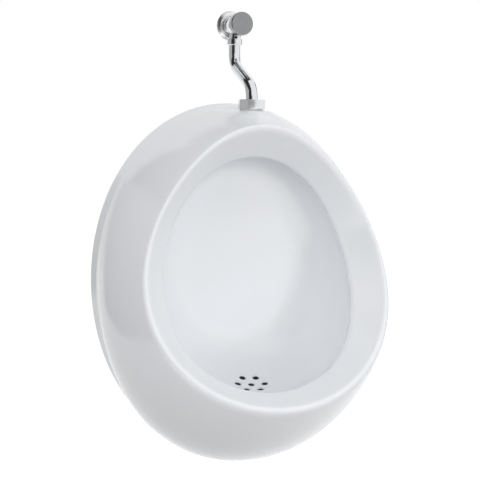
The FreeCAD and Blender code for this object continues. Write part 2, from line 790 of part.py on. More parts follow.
def make_wall_screws():
    """Pan head screws through the brackets, with their washers."""
    screws = []
    washers = []
    for side in (-1, 1):
        for level, height in enumerate(bracket_screw_heights()):
            tag = "%s_%d" % ("left" if side < 0 else "right", level)
            across = "%d * Sizes.hanger_half_spacing" % side
            face = "-Sizes.bracket_steel - Sizes.washer_thickness"
            neck = rod_along_y(
                "neck_" + tag,
                "Sizes.screw_neck_radius",
                face,
                "Sizes.screw_length / 2",
                across,
                height,
            )
            thread = rod_along_y(
                "thread_" + tag,
                "Sizes.screw_radius",
                "Sizes.screw_thread_start",
                face + " + Sizes.screw_length - Sizes.screw_thread_start",
                across,
                height,
            )
            point = solid(
                "Cone",
                "point_" + tag,
                Radius1="Sizes.screw_radius",
                Radius2="Sizes.screw_radius / 4",
                Height="2 * Sizes.screw_radius",
            )
            turn(point, (1, 0, 0), -90)
            place(point, across, face + " + Sizes.screw_length", height)
            head = rod_along_y(
                "head_" + tag,
                "Sizes.screw_head_radius",
                face + " - Sizes.screw_head_height",
                "Sizes.screw_head_height",
                across,
                height,
            )
            slot = solid(
                "Box",
                "drive_" + tag,
                Length="2 * Sizes.screw_head_radius",
                Width="Sizes.screw_head_height / 2",
                Height="Sizes.screw_radius / 2.5",
            )
            place(
                slot,
                across + " - Sizes.screw_head_radius",
                face + " - Sizes.screw_head_height",
                height + " - Sizes.screw_radius / 5",
            )
            blank = fuse("blank_" + tag, neck, thread, point, head)
            screws.append(cut("screw_" + tag, blank, slot))
            disc = rod_along_y(
                "disc_" + tag, "Sizes.washer_radius", face, "Sizes.washer_thickness", across, height
            )
            hole = rod_along_y(
                "disc_hole_" + tag,
                "Sizes.screw_radius + Sizes.fit_gap / 2",
                face + " - Sizes.cut_over",
                "Sizes.washer_thickness + 2 * Sizes.cut_over",
                across,
                height,
            )
            washers.append(cut("washer_" + tag, disc, hole))
    for node, group in (("bracket_screws", screws), ("bracket_washers", washers)):
        compound = doc.addObject("Part::Compound", node)
        compound.Links = group
        keep(compound, node)


make_ceramic()
make_bracket(-1, "hanger_bracket_left")
make_bracket(1, "hanger_bracket_right")
make_wall_screws()
doc.recompute()


# ---------------------------------------------------------------- inlet fittings
def make_inlet_fittings():
    """Rubber bush, threaded tube, octagonal union nut and pipe seal on the inlet axis."""
    bush = turned("inlet_bush", [
        ("Sizes.spud_radius", "-Sizes.inlet_seat_drop * 2"),
        ("Sizes.inlet_bore_radius", "-Sizes.inlet_seat_drop * 2"),
        ("Sizes.inlet_bore_radius", "0"),
        ("Sizes.inlet_boss_radius - Sizes.fit_gap * 5", "0"),
        ("Sizes.inlet_boss_radius - Sizes.fit_gap * 5", "Sizes.bush_flange"),
        ("Sizes.spud_radius", "Sizes.bush_flange"),
    ])
    spud = turned("inlet_spud", [
        ("Sizes.spud_bore_radius", "-Sizes.spud_length + Sizes.nut_height - Sizes.nut_web * 2"),
        ("Sizes.spud_radius", "-Sizes.spud_length + Sizes.nut_height - Sizes.nut_web * 2"),
        ("Sizes.spud_radius", "Sizes.nut_height - Sizes.nut_web * 2"),
        ("Sizes.spud_bore_radius", "Sizes.nut_height - Sizes.nut_web * 2"),
    ])
    seal = turned("pipe_seal", [
        ("Sizes.pipe_radius", "Sizes.nut_height - Sizes.nut_web * 2"),
        ("Sizes.spud_radius", "Sizes.nut_height - Sizes.nut_web * 2"),
        ("Sizes.spud_radius", "Sizes.nut_height - Sizes.nut_web * 1.5"),
        ("Sizes.pipe_radius + Sizes.pipe_wall", "Sizes.nut_height - Sizes.nut_web"),
        ("Sizes.pipe_radius", "Sizes.nut_height - Sizes.nut_web"),
    ])
    for body in (bush, spud, seal):
        place(body, "0", "-Sizes.inlet_depth", NUT_SEAT)


def make_union_nut():
    """Eight sided nut with turned corners, threaded bore and a pipe hole in its web."""
    base = NUT_SEAT + " + Sizes.bush_flange"
    height = "Sizes.nut_height - Sizes.bush_flange"
    prism = solid("Prism", "nut_prism", Circumradius="Sizes.nut_flats_radius / cos(22.5)")
    bind(prism, Height=height)
    prism.Polygon = 8
    prism.Placement = Placement(Vector(), Rotation(Vector(0, 0, 1), size("nut_turn")))
    place(prism, "0", "-Sizes.inlet_depth", base)
    corner = "Sizes.nut_flats_radius / cos(22.5)"
    lathe = turned("nut_corners", [
        ("0", "0"),
        (corner + " - Sizes.nut_corner_chamfer", "0"),
        (corner, "Sizes.nut_corner_chamfer"),
        (corner, height + " - Sizes.nut_corner_chamfer"),
        (corner + " - Sizes.nut_corner_chamfer", height),
        ("0", height),
    ])
    PARTS.pop("nut_corners")
    place(lathe, "0", "-Sizes.inlet_depth", base)
    rounded = doc.addObject("Part::Common", "nut_rounded")
    rounded.Base = prism
    rounded.Tool = lathe
    thread = upright(
        "nut_thread",
        "Sizes.spud_radius + Sizes.fit_gap / 6",
        base + " - Sizes.cut_over",
        "Sizes.nut_height - Sizes.bush_flange - Sizes.nut_web + Sizes.cut_over",
        y="-Sizes.inlet_depth",
    )
    hole = upright(
        "nut_pipe_hole",
        "Sizes.pipe_radius + Sizes.fit_gap",
        base,
        "2 * Sizes.nut_height",
        y="-Sizes.inlet_depth",
    )
    keep(cut("union_nut", rounded, thread, hole), "union_nut")


def pipe_path():
    """Lines and arcs of the flush pipe from the nut up to the valve, in the plane X = 0."""
    bend = size("pipe_bend_radius")
    inlet = size("inlet_depth")
    branch = size("branch_depth")
    seat = MIDDLE + size("body_height") / 2 - size("inlet_seat_drop")
    low = seat + size("nut_height") - 2 * size("nut_web")
    high = size("valve_axis") - size("branch_length")
    start = Vector(0, -inlet, low)
    first = Vector(0, -inlet, seat + size("nut_height") + size("pipe_lower_straight"))
    end = Vector(0, -branch, high)
    fourth = end - Vector(0, 0, size("pipe_upper_straight"))
    # the slanting run is the inner tangent of the two bends
    across = fourth.y - first.y - 2 * bend
    between = math.hypot(across, fourth.z - first.z)
    run = math.sqrt(between ** 2 - (2 * bend) ** 2)
    angle = math.atan2(across, fourth.z - first.z) + math.asin(2 * bend / between)
    turn_in = Vector(0, bend * (1 - math.cos(angle)), bend * math.sin(angle))
    middle_in = Vector(0, bend * (1 - math.cos(angle / 2)), bend * math.sin(angle / 2))
    second = first + turn_in
    third = second + Vector(0, math.sin(angle), math.cos(angle)) * run
    return Part.Wire([
        Part.makeLine(start, first),
        Part.Arc(first, first + middle_in, second).toShape(),
        Part.makeLine(second, third),
        Part.Arc(third, fourth - middle_in, fourth).toShape(),
        Part.makeLine(fourth, end),
    ])


def make_flush_pipe():
    path = pipe_path()
    tubes = []
    for radius in (size("pipe_radius"), size("pipe_radius") - size("pipe_wall")):
        runs = []
        for edge in path.Edges:
            start = edge.valueAt(edge.FirstParameter)
            ahead = edge.tangentAt(edge.FirstParameter)
            disc = Part.Face(Part.Wire(Part.makeCircle(radius, start, ahead)))
            if isinstance(edge.Curve, Part.Circle):
                bend = edge.Curve
                turned_by = math.degrees(edge.LastParameter - edge.FirstParameter)
                runs.append(disc.revolve(bend.Center, bend.Axis, turned_by))
            else:
                runs.append(disc.extrude(ahead * edge.Length))
        tubes.append(runs[0].fuse(runs[1:]).removeSplitter())
    keep(shape_feature("flush_pipe", tubes[0].cut(tubes[1])), "flush_pipe")


# ---------------------------------------------------------------- flush valve
def make_valve_body():
    """Barrel with its thread into the wall and a tapered outlet neck below."""
    barrel = turned("valve_barrel", [
        ("Sizes.tail_bore_radius", "-Sizes.tail_length"),
        ("Sizes.tail_radius", "-Sizes.tail_length"),
        ("Sizes.tail_radius", "0"),
        ("Sizes.barrel_radius", "0"),
        ("Sizes.barrel_radius", "Sizes.barrel_length"),
        ("Sizes.chamber_radius", "Sizes.barrel_length"),
        ("Sizes.chamber_radius", "-Sizes.chamber_start"),
        ("Sizes.tail_bore_radius", "-Sizes.chamber_start"),
    ])
    PARTS.pop("valve_barrel")
    face_wall(barrel)
    neck = solid(
        "Cone",
        "outlet_neck",
        Radius1="Sizes.branch_radius",
        Radius2="Sizes.branch_radius * 0.8",
        Height="Sizes.branch_length - Sizes.chamber_radius",
    )
    place(neck, "0", "-Sizes.branch_depth", "Sizes.valve_axis - Sizes.branch_length")
    bore = upright(
        "outlet_bore",
        "Sizes.pipe_radius - Sizes.pipe_wall * 2",
        "Sizes.valve_axis - Sizes.branch_length - Sizes.cut_over",
        "Sizes.branch_length + Sizes.cut_over",
        y="-Sizes.branch_depth",
    )
    blank = fuse("valve_blank", barrel, cut("neck", neck, chamber_rod()))
    keep(cut("valve", blank, bore), "valve_body")


def chamber_rod():
    """The barrel's bore, kept free of the outlet neck."""
    rod = solid(
        "Cylinder",
        "chamber_rod",
        Radius="Sizes.chamber_radius",
        Height="Sizes.barrel_length",
    )
    return face_wall(rod)


def make_valve_parts():
    """Turned pieces on the valve axis, each from its own back face outwards."""
    face_wall(turned("wall_flange", [
        ("Sizes.barrel_radius + Sizes.fit_gap", "0"),
        ("Sizes.flange_radius", "0"),
        ("Sizes.flange_radius", "Sizes.flange_edge"),
        ("Sizes.flange_radius - Sizes.flange_edge", "Sizes.flange_edge * 2"),
        ("Sizes.barrel_radius + Sizes.flange_edge * 2", "Sizes.flange_thickness"),
        ("Sizes.barrel_radius + Sizes.fit_gap", "Sizes.flange_thickness"),
    ]))
    face_wall(turned("valve_seat", [
        ("Sizes.seat_hole_radius", "0"),
        ("Sizes.seat_hole_radius + Sizes.seat_thickness / 2", "0"),
        ("Sizes.chamber_radius", "0"),
        ("Sizes.chamber_radius", "Sizes.seat_thickness"),
        ("Sizes.seat_hole_radius", "Sizes.seat_thickness"),
    ]), "Sizes.seat_position")
    plug = "-Sizes.bonnet_plug"
    guide = "Sizes.stem_radius + Sizes.stem_clearance"
    pocket = "Sizes.stem_radius + 2 * Sizes.seal_wire + 2 * Sizes.stem_clearance"
    face_wall(turned("bonnet", [
        (pocket, plug),
        ("Sizes.chamber_radius", plug),
        ("Sizes.chamber_radius", "0"),
        ("Sizes.bonnet_radius", "0"),
        ("Sizes.bonnet_radius", "Sizes.bonnet_collar"),
        ("Sizes.bonnet_neck_radius", "Sizes.bonnet_collar"),
        ("Sizes.bonnet_neck_radius", "Sizes.bonnet_collar + Sizes.bonnet_neck"),
        (guide, "Sizes.bonnet_collar + Sizes.bonnet_neck"),
        (guide, plug + " + 2.4 * Sizes.seal_wire"),
        (pocket, plug + " + 2.4 * Sizes.seal_wire"),
    ]), "Sizes.barrel_length")
    face_wall(turned("inlet_strainer", [
        ("Sizes.tail_bore_radius / 4", "0"),
        ("Sizes.tail_bore_radius", "0"),
        ("Sizes.tail_bore_radius", "Sizes.strainer_thickness"),
        ("Sizes.tail_bore_radius / 4", "Sizes.strainer_thickness"),
    ]), "-Sizes.tail_length")
    seal_inside = "Sizes.stem_radius + Sizes.stem_clearance"
    face_wall(turned("stem_seal", [
        (seal_inside, "0.6 * Sizes.seal_wire"),
        (seal_inside + " + 0.6 * Sizes.seal_wire", "0"),
        (seal_inside + " + 1.4 * Sizes.seal_wire", "0"),
        (seal_inside + " + 2 * Sizes.seal_wire", "0.6 * Sizes.seal_wire"),
        (seal_inside + " + 2 * Sizes.seal_wire", "1.4 * Sizes.seal_wire"),
        (seal_inside + " + 1.4 * Sizes.seal_wire", "2 * Sizes.seal_wire"),
        (seal_inside + " + 0.6 * Sizes.seal_wire", "2 * Sizes.seal_wire"),
        (seal_inside, "1.4 * Sizes.seal_wire"),
    ]), "Sizes.barrel_length - Sizes.bonnet_plug + 0.3 * Sizes.seal_wire")


def make_outlet_joint():
    """Compression nut and rubber ring that hold the flush pipe to the valve."""
    nut = turned("outlet_nut", [
        ("Sizes.pipe_radius + Sizes.fit_gap", "-Sizes.collar_height"),
        ("Sizes.collar_radius - Sizes.nut_corner_chamfer", "-Sizes.collar_height"),
        ("Sizes.collar_radius", "-Sizes.collar_height + Sizes.nut_corner_chamfer"),
        ("Sizes.collar_radius", "Sizes.fit_gap * 4"),
        ("Sizes.branch_radius + Sizes.fit_gap / 6", "Sizes.fit_gap * 4"),
        ("Sizes.branch_radius + Sizes.fit_gap / 6", "-Sizes.collar_height * 0.7"),
        ("Sizes.pipe_radius + Sizes.fit_gap", "-Sizes.collar_height * 0.7"),
    ])
    ring = turned("outlet_seal", [
        ("Sizes.pipe_radius", "-Sizes.collar_height * 0.7"),
        ("Sizes.branch_radius", "-Sizes.collar_height * 0.7"),
        ("Sizes.branch_radius", "0"),
        ("Sizes.pipe_radius", "0"),
    ])
    for body in (nut, ring):
        place(body, "0", "-Sizes.branch_depth", "Sizes.valve_axis - Sizes.branch_length")


def make_push_button():
    """Cap, stem, poppet and rubber facing, which slide together, and the return spring."""
    depth = "Sizes.cap_face - Sizes.cap_back"
    inside = "Sizes.cap_radius - Sizes.cap_wall"
    hub = (
        "-(Sizes.cap_face - Sizes.button_travel - Sizes.fit_gap - Sizes.barrel_length"
        " - Sizes.bonnet_collar - Sizes.bonnet_neck)"
    )
    cap = turned("button_cap", [
        ("Sizes.stem_radius", hub),
        ("Sizes.stem_radius * 2", hub),
        ("Sizes.stem_radius * 2", "-Sizes.cap_crown"),
        (inside, "-Sizes.cap_crown"),
        (inside, "-(%s)" % depth),
        ("Sizes.cap_radius", "-(%s)" % depth),
        ("Sizes.cap_radius", "-Sizes.cap_edge_round"),
        ("Sizes.cap_radius - Sizes.cap_edge_round * 0.3", "-Sizes.cap_edge_round * 0.3"),
        ("Sizes.cap_radius - Sizes.cap_edge_round", "0"),
        ("0", "-Sizes.cap_dish"),
        ("0", "-Sizes.cap_crown * 0.6"),
        ("Sizes.stem_radius", "-Sizes.cap_crown * 0.6"),
    ])
    face_wall(cap, "Sizes.cap_face")
    poppet_front = "Sizes.seat_position - Sizes.fit_gap"
    poppet_back = poppet_front + " - Sizes.poppet_washer - Sizes.poppet_thickness"
    length = "Sizes.cap_face - Sizes.cap_crown * 0.6 - (%s)" % poppet_back
    stem = solid("Cylinder", "valve_stem", Radius="Sizes.stem_radius", Height=length)
    face_wall(stem, poppet_back)
    keep(stem, "valve_stem")
    face_wall(turned("poppet", [
        ("Sizes.stem_radius", "0"),
        ("Sizes.poppet_radius - Sizes.poppet_thickness / 2", "0"),
        ("Sizes.poppet_radius", "Sizes.poppet_thickness / 2"),
        ("Sizes.poppet_radius", "Sizes.poppet_thickness"),
        ("Sizes.stem_radius", "Sizes.poppet_thickness"),
    ]), poppet_back)
    face_wall(turned("poppet_washer", [
        ("Sizes.stem_radius", "0"),
        ("Sizes.poppet_radius - Sizes.fit_gap", "0"),
        ("Sizes.poppet_radius - Sizes.fit_gap", "Sizes.poppet_washer"),
        ("Sizes.stem_radius", "Sizes.poppet_washer"),
    ]), poppet_front + " - Sizes.poppet_washer")


def make_return_spring():
    """Helical spring between the bonnet's collar and the underside of the cap."""
    wire = size("spring_wire") / 2
    low = size("barrel_length") + size("bonnet_collar") + wire + size("stem_clearance")
    high = size("cap_face") - size("cap_crown") - wire - size("stem_clearance")
    steps = int(size("spring_turns") * size("spring_steps"))
    middle = size("spring_radius")
    rings = []
    for i in range(steps + 1):
        angle = 2 * math.pi * i / size("spring_steps")
        out = Vector(math.cos(angle), math.sin(angle), 0)
        centre = out * middle + Vector(0, 0, (high - low) * i / steps)
        corners = []
        for k in range(6):
            around = math.pi * k / 3
            corners.append(centre + (out * math.cos(around) + Vector(0, 0, math.sin(around))) * wire)
        rings.append(Part.makePolygon(corners + corners[:1]))
    spring = shape_feature("return_spring", Part.makeLoft(rings, True, True))
    face_wall(spring, "%.4f" % low)
    keep(spring, "return_spring")


# ---------------------------------------------------------------- trap and waste pipe
def make_trap():
    """Bottle trap behind the bowl: body with socket, baffle, screwed cup and waste pipe."""
    wall = "Sizes.trap_wall"
    middle = "-Sizes.trap_depth"
    body = upright(
        "trap_shell",
        "Sizes.trap_radius",
        "-Sizes.cup_split",
        "Sizes.cup_split + Sizes.trap_top",
        y=middle,
    )
    inside = upright(
        "trap_inside",
        "Sizes.trap_radius - " + wall,
        "-Sizes.cup_split - Sizes.cut_over",
        "Sizes.cup_split + Sizes.cut_over + Sizes.trap_top - " + wall,
        y=middle,
    )
    horn_end = SUMP_BACK + " + Sizes.sump_wall + Sizes.horn_length"
    socket_radius = "Sizes.horn_radius + Sizes.horn_seal_thickness"
    socket = rod_along_y(
        "trap_socket",
        socket_radius + " + Sizes.socket_wall",
        horn_end + " - Sizes.socket_length + Sizes.socket_setback",
        "Sizes.socket_length + 4 * Sizes.trap_wall",
    )
    socket_bore = rod_along_y(
        "trap_socket_bore",
        socket_radius,
        horn_end + " - Sizes.socket_length",
        "Sizes.socket_length + Sizes.fit_gap",
    )
    entry = rod_along_y(
        "trap_entry",
        "Sizes.horn_bore_radius + Sizes.fit_gap * 3",
        horn_end,
        "Sizes.trap_radius",
    )
    exit_hole = rod_along_y(
        "trap_exit",
        "Sizes.waste_radius - Sizes.waste_wall",
        middle,
        "Sizes.trap_depth",
    )
    outlet = rod_along_y(
        "trap_outlet",
        "Sizes.waste_radius + Sizes.trap_wall",
        middle,
        "Sizes.trap_depth - Sizes.waste_flange",
    )
    seat = rod_along_y(
        "trap_outlet_seat",
        "Sizes.waste_radius",
        "-3 * Sizes.waste_flange",
        "Sizes.trap_depth",
    )
    hollow = fuse("trap_hollow", inside, socket_bore, entry, exit_hole, seat)
    blank = fuse("trap_blank", body, socket, outlet)
    keep(cut("trap_body", blank, hollow), "trap_body")
    slab = solid(
        "Box",
        "baffle_slab",
        Length="2 * Sizes.trap_radius",
        Width="Sizes.baffle_thickness",
        Height="Sizes.trap_top + Sizes.baffle_bottom - " + wall,
    )
    slab_front = "-Sizes.trap_depth - Sizes.baffle_thickness / 2"
    place(slab, "-Sizes.trap_radius", slab_front, "-Sizes.baffle_bottom")
    slab_round = upright(
        "baffle_round",
        "Sizes.trap_radius - 2 * " + wall,
        "-Sizes.trap_bottom",
        "Sizes.trap_bottom + Sizes.trap_top",
        y=middle,
    )
    baffle = doc.addObject("Part::Common", "baffle")
    baffle.Base = slab
    baffle.Tool = slab_round
    keep(baffle, "trap_baffle")
    cup = turned("trap_cup", [
        ("0", "-Sizes.trap_bottom"),
        ("Sizes.trap_radius * 0.8", "-Sizes.trap_bottom"),
        ("Sizes.trap_radius", "-Sizes.trap_bottom + Sizes.trap_radius * 0.2"),
        ("Sizes.trap_radius", "-Sizes.cup_split - 4 * Sizes.fit_gap"),
        ("Sizes.trap_radius + Sizes.trap_wall * 1.4", "-Sizes.cup_split - 4 * Sizes.fit_gap"),
        ("Sizes.trap_radius + Sizes.trap_wall * 1.4", "-Sizes.cup_split + Sizes.cup_skirt"),
        ("Sizes.trap_radius + Sizes.fit_gap / 2", "-Sizes.cup_split + Sizes.cup_skirt"),
        ("Sizes.trap_radius + Sizes.fit_gap / 2", "-Sizes.cup_split - 2 * Sizes.fit_gap"),
        ("Sizes.trap_radius - Sizes.trap_wall", "-Sizes.cup_split - 2 * Sizes.fit_gap"),
        ("Sizes.trap_radius - Sizes.trap_wall",
         "-Sizes.trap_bottom + Sizes.trap_radius * 0.2 + Sizes.trap_wall"),
        ("Sizes.trap_radius * 0.7", "-Sizes.trap_bottom + Sizes.trap_wall"),
        ("0", "-Sizes.trap_bottom + Sizes.trap_wall"),
    ])
    place(cup, "0", "-Sizes.trap_depth", "0")
    ring = turned("cup_seal", [
        ("Sizes.trap_radius - Sizes.trap_wall", "-Sizes.cup_split - 2 * Sizes.fit_gap"),
        ("Sizes.trap_radius", "-Sizes.cup_split - 2 * Sizes.fit_gap"),
        ("Sizes.trap_radius", "-Sizes.cup_split"),
        ("Sizes.trap_radius - Sizes.trap_wall", "-Sizes.cup_split"),
    ])
    place(ring, "0", "-Sizes.trap_depth", "0")
    sleeve = rod_along_y(
        "sleeve",
        socket_radius,
        horn_end + " - Sizes.socket_length + Sizes.socket_setback * 1.5",
        "Sizes.socket_length - Sizes.socket_setback * 2",
    )
    sleeve_bore = rod_along_y(
        "sleeve_bore",
        "Sizes.horn_radius",
        horn_end + " - Sizes.socket_length",
        "Sizes.socket_length + Sizes.cut_over",
    )
    keep(cut("horn_seal", sleeve, sleeve_bore), "horn_seal")


def make_waste_pipe():
    """Pipe into the wall, pushed into the trap's outlet up to its collar."""
    start = "-3 * Sizes.waste_flange"
    pipe = rod_along_y(
        "waste_tube",
        "Sizes.waste_radius",
        start,
        "3 * Sizes.waste_flange + Sizes.waste_length",
    )
    collar = rod_along_y(
        "waste_collar",
        "Sizes.waste_flange_radius",
        "-Sizes.waste_flange",
        "Sizes.waste_flange",
    )
    bore = rod_along_y(
        "waste_bore",
        "Sizes.waste_radius - Sizes.waste_wall",
        start + " - Sizes.cut_over",
        "3 * Sizes.waste_flange + Sizes.waste_length + 2 * Sizes.cut_over",
    )
    keep(cut("waste_pipe", fuse("waste_blank", pipe, collar), bore), "waste_pipe")


make_inlet_fittings()
make_union_nut()
make_flush_pipe()
make_valve_body()
make_valve_parts()
make_outlet_joint()
make_push_button()
make_return_spring()
make_trap()
make_waste_pipe()
doc.recompute()

for thing in doc.Objects:
    if "Invalid" in thing.State or "Error" in thing.State:
        raise RuntimeError("%s did not compute" % thing.Name)
for node, thing in PARTS.items():
    if thing.Shape.isNull() or not thing.Shape.isValid():
        raise RuntimeError("%s has no valid shape" % node)
    if not thing.Shape.Solids:
        raise RuntimeError("%s has no solid" % node)

os.makedirs("parts", exist_ok=True)
for node, thing in PARTS.items():
    thing.Shape.exportStep("parts/%s.step" % node)
    print(node, len(thing.Shape.Solids), round(thing.Shape.Volume, 1))
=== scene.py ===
"""Wall hung urinal with an exposed flush pipe, dressed for a white studio.

Lengths are in metres.  +Z is up, the wall plane is Y = 0, the front faces -Y and the origin is
the centre of the waste outlet at the wall.
"""

import math

import bmesh
import bpy
from mathutils import Matrix, Vector
from mathutils.bvhtree import BVHTree


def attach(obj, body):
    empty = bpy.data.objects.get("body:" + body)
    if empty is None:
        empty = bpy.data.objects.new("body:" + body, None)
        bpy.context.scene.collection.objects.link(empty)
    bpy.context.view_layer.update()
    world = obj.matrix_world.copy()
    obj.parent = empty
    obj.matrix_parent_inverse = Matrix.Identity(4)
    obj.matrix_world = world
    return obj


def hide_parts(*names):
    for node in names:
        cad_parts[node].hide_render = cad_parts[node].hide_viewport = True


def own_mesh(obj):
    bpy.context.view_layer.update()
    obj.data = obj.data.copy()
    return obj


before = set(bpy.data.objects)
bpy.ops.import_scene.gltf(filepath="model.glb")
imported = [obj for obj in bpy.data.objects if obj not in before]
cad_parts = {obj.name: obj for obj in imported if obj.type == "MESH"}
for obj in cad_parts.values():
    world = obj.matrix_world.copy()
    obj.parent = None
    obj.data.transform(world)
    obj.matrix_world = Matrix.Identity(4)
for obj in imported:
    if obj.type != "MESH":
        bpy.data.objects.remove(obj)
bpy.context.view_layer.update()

MM = 0.001

# ---------------------------------------------------------------- driving dimensions
MIDDLE = 156 * MM                # middle of the ceramic above the waste outlet
BODY_HEIGHT = 500 * MM
BODY_HALF_WIDTH = 197 * MM
WALL_TAPER = -0.022
WALL_FULLNESS = 0.022
BAND_DEPTH = 22.6 * MM           # square band round the back edge
BAND_INSET = 3.5 * MM
SWELL_SIDE = 7 * MM
DROP_TOP = 6 * MM
DROP_BOTTOM = 11.6 * MM
SETBACK_SIDE = 35 * MM
SETBACK_TOP = 28.6 * MM
SETBACK_BOTTOM = 131.4 * MM
RIM_DEPTHS = (142 * MM, 165 * MM, 249 * MM)      # top, sides, bottom
RIM_TAPER = 0.206
LIP_SIDE = 34 * MM
LIP_TOP = 44 * MM
LIP_BOTTOM = 9 * MM
LIP_FALLS = (40 * MM, 41 * MM, 51 * MM)          # top, sides, bottom
BOWL_SWELL = 22 * MM
FLOOR_DROP = 27 * MM
BACK_GAP = 40 * MM
BACK_HALF_WIDTH = 80 * MM
CERAMIC_WALL = 11 * MM
DRAFT_POINT, FLANK_START, CREST_START = 0.86, 0.03, 0.95
CREST_END, MOUTH_START, MOUTH_END = 0.22, 0.86, 0.06
RING_SEGMENTS = 160

INLET_DEPTH = 86 * MM
NUT_SEAT = 396.5 * MM
INLET_LAND = 17 * MM             # flat land under the union nut
INLET_BLEND = 30 * MM            # how far that land runs out into the flank

DRAIN_DEPTH = 108 * MM
DRAIN_SPACING = 18.5 * MM
DRAIN_TURN = math.radians(-10)
DRAIN_RADIUS = 4.25 * MM
DRAIN_FLARE = 1.3 * MM           # rounding of the glaze into each hole

GALLERY_HALF_WIDTH = 8 * MM
GALLERY_ARC = 138 * MM
GALLERY_BELOW_TOP = 41 * MM
GALLERY_HALF_ANGLE = math.radians(34)
SPRAY_HOLES = 7
SPRAY_RADIUS = 2.5 * MM
INLET_BOSS_RADIUS = 17 * MM

LEDGE_HEIGHT = MIDDLE + 96 * MM  # hanging ledge across the back
LEDGE_THICKNESS = 14 * MM
LEDGE_DEPTHS = (3 * MM, 35 * MM)
SLOT_OFFSET = 92 * MM
SLOT_HALF_WIDTH = 15.9 * MM
SLOT_DEPTHS = (16.1 * MM, 20.9 * MM)
RIB_SINK = 4 * MM                # ribs end inside the ware's walls

VALVE_HEIGHT = 512 * MM
BRANCH_DEPTH = 17.5 * MM
BRANCH_LENGTH = 20 * MM
PIPE_RADIUS = 8 * MM
PIPE_WALL = 1 * MM
PIPE_LOW = 404.5 * MM            # lower end, inside the union nut
PIPE_FIRST_BEND = 412 * MM       # where the bends start
PIPE_UPPER_STRAIGHT = 17.5 * MM
PIPE_BEND_RADIUS = 24 * MM

WORLD_FILL = 0.49
FLOOR_GLOW = 0.6
FLOOR_HEIGHT = -0.5
FLAGS = [                        # name, tone, middle, size, turn about Z of an upright cloth
    ("left_front_flag", 0.03, (-1.25, -1.87, 1.45), (3.7, 2.84), 0),
    ("left_high_flag", 0.03, (-1.25, 0.68, 2.2), (2.2, 2.26), 0),
    ("left_low_flag", 0.5, (-1.25, 0.88, 0.35), (1.5, 2.66), 0),
    ("front_flag", 0.4, (-0.75, -3.3, 0.4), (1.6, 1.0), 90),
    ("right_edge_flag", 0.1, (1.8, 0.85, 0.6), (2.0, 0.7), 0),
    ("ceiling_flag", 0.05, (-0.25, 1.05, 2.7), (2.0, 1.8)),
]
LAMPS = [                        # name, bearing, distance, height, width, depth, watts
    ("front_box", 10, 2.1, 0.4, 2.0, 1.4, 20),
    ("left_box", -60, 1.8, 0.7, 1.2, 1.2, 8),
    ("right_box", 60, 1.9, 0.9, 1.2, 1.4, 5),
    ("top_box", 0, 0.6, 2.2, 1.4, 1.0, 4),
]


# ---------------------------------------------------------------- mesh helpers
def finish_piece(bm, name, material, body, sharp=35, nodes=()):
    """Turn a bmesh into a piece of the scene that rides on a body and stands for CAD nodes."""
    mesh = bpy.data.meshes.new(name)
    bm.to_mesh(mesh)
    bm.free()
    return finish_mesh(mesh, name, material, body, sharp, nodes)


def finish_mesh(mesh, name, material, body, sharp=35, nodes=()):
    mesh.shade_smooth()
    mesh.set_sharp_from_angle(angle=math.radians(sharp))
    mesh.materials.clear()
    mesh.materials.append(material)
    piece = bpy.data.objects.new(name, mesh)
    bpy.context.scene.collection.objects.link(piece)
    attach(piece, body)
    if nodes:
        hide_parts(*nodes)
    return piece


def skin_rings(bm, rings):
    """Extrude a loop of edges from ring to ring; gives the first and the last loop."""
    made = bmesh.ops.create_circle(bm, segments=len(rings[0]), radius=1.0)
    verts = made["verts"]
    first = edges = list({edge for vert in verts for edge in vert.link_edges})
    for vert, point in zip(verts, rings[0]):
        vert.co = point
    for points in rings[1:]:
        grown = bmesh.ops.extrude_edge_only(bm, edges=edges)["geom"]
        fresh = {item for item in grown if isinstance(item, bmesh.types.BMVert)}
        edges = [item for item in grown if isinstance(item, bmesh.types.BMEdge)
                 and item.verts[0] in fresh and item.verts[1] in fresh]
        verts = [next(edge.other_vert(vert) for edge in vert.link_edges
                      if edge.other_vert(vert) in fresh) for vert in verts]
        for vert, point in zip(verts, points):
            vert.co = point
    return first, edges


def lathe(profile, segments=96, axis="Z", centre=(0, 0, 0), closed=True):
    """Turned shape: profile is (radius, height) pairs; axis Y points out of the wall."""
    bm = bmesh.new()
    verts = [bm.verts.new((radius, 0, height)) for radius, height in profile]
    edges = [bm.edges.new(pair) for pair in zip(verts, verts[1:])]
    if closed:
        edges.append(bm.edges.new((verts[-1], verts[0])))
    bmesh.ops.spin(bm, geom=verts + edges, cent=(0, 0, 0), axis=(0, 0, 1),
                   angle=2 * math.pi, steps=segments, use_merge=True)
    bmesh.ops.remove_doubles(bm, verts=bm.verts, dist=1e-7)
    bmesh.ops.recalc_face_normals(bm, faces=bm.faces)
    if axis == "Y":
        bmesh.ops.rotate(bm, verts=bm.verts, cent=(0, 0, 0),
                         matrix=Matrix.Rotation(math.radians(90), 3, "X"))
    bmesh.ops.translate(bm, verts=bm.verts, vec=centre)
    return bm


def rounded(corners, radius, steps=4):
    """Closed profile with each corner rounded by a short quadratic curve."""
    count = len(corners)
    points = []
    for i in range(count):
        before, here, after = (Vector(corners[(i + k) % count]) for k in (-1, 0, 1))
        reach = min(radius, (before - here).length * 0.45, (after - here).length * 0.45)
        if here.x < 1e-6:
            points.append(tuple(here))
            continue
        start = here + (before - here).normalized() * reach
        end = here + (after - here).normalized() * reach
        for k in range(steps + 1):
            share = k / steps
            spot = start.lerp(here, share).lerp(here.lerp(end, share), share)
            points.append(tuple(spot))
    return points


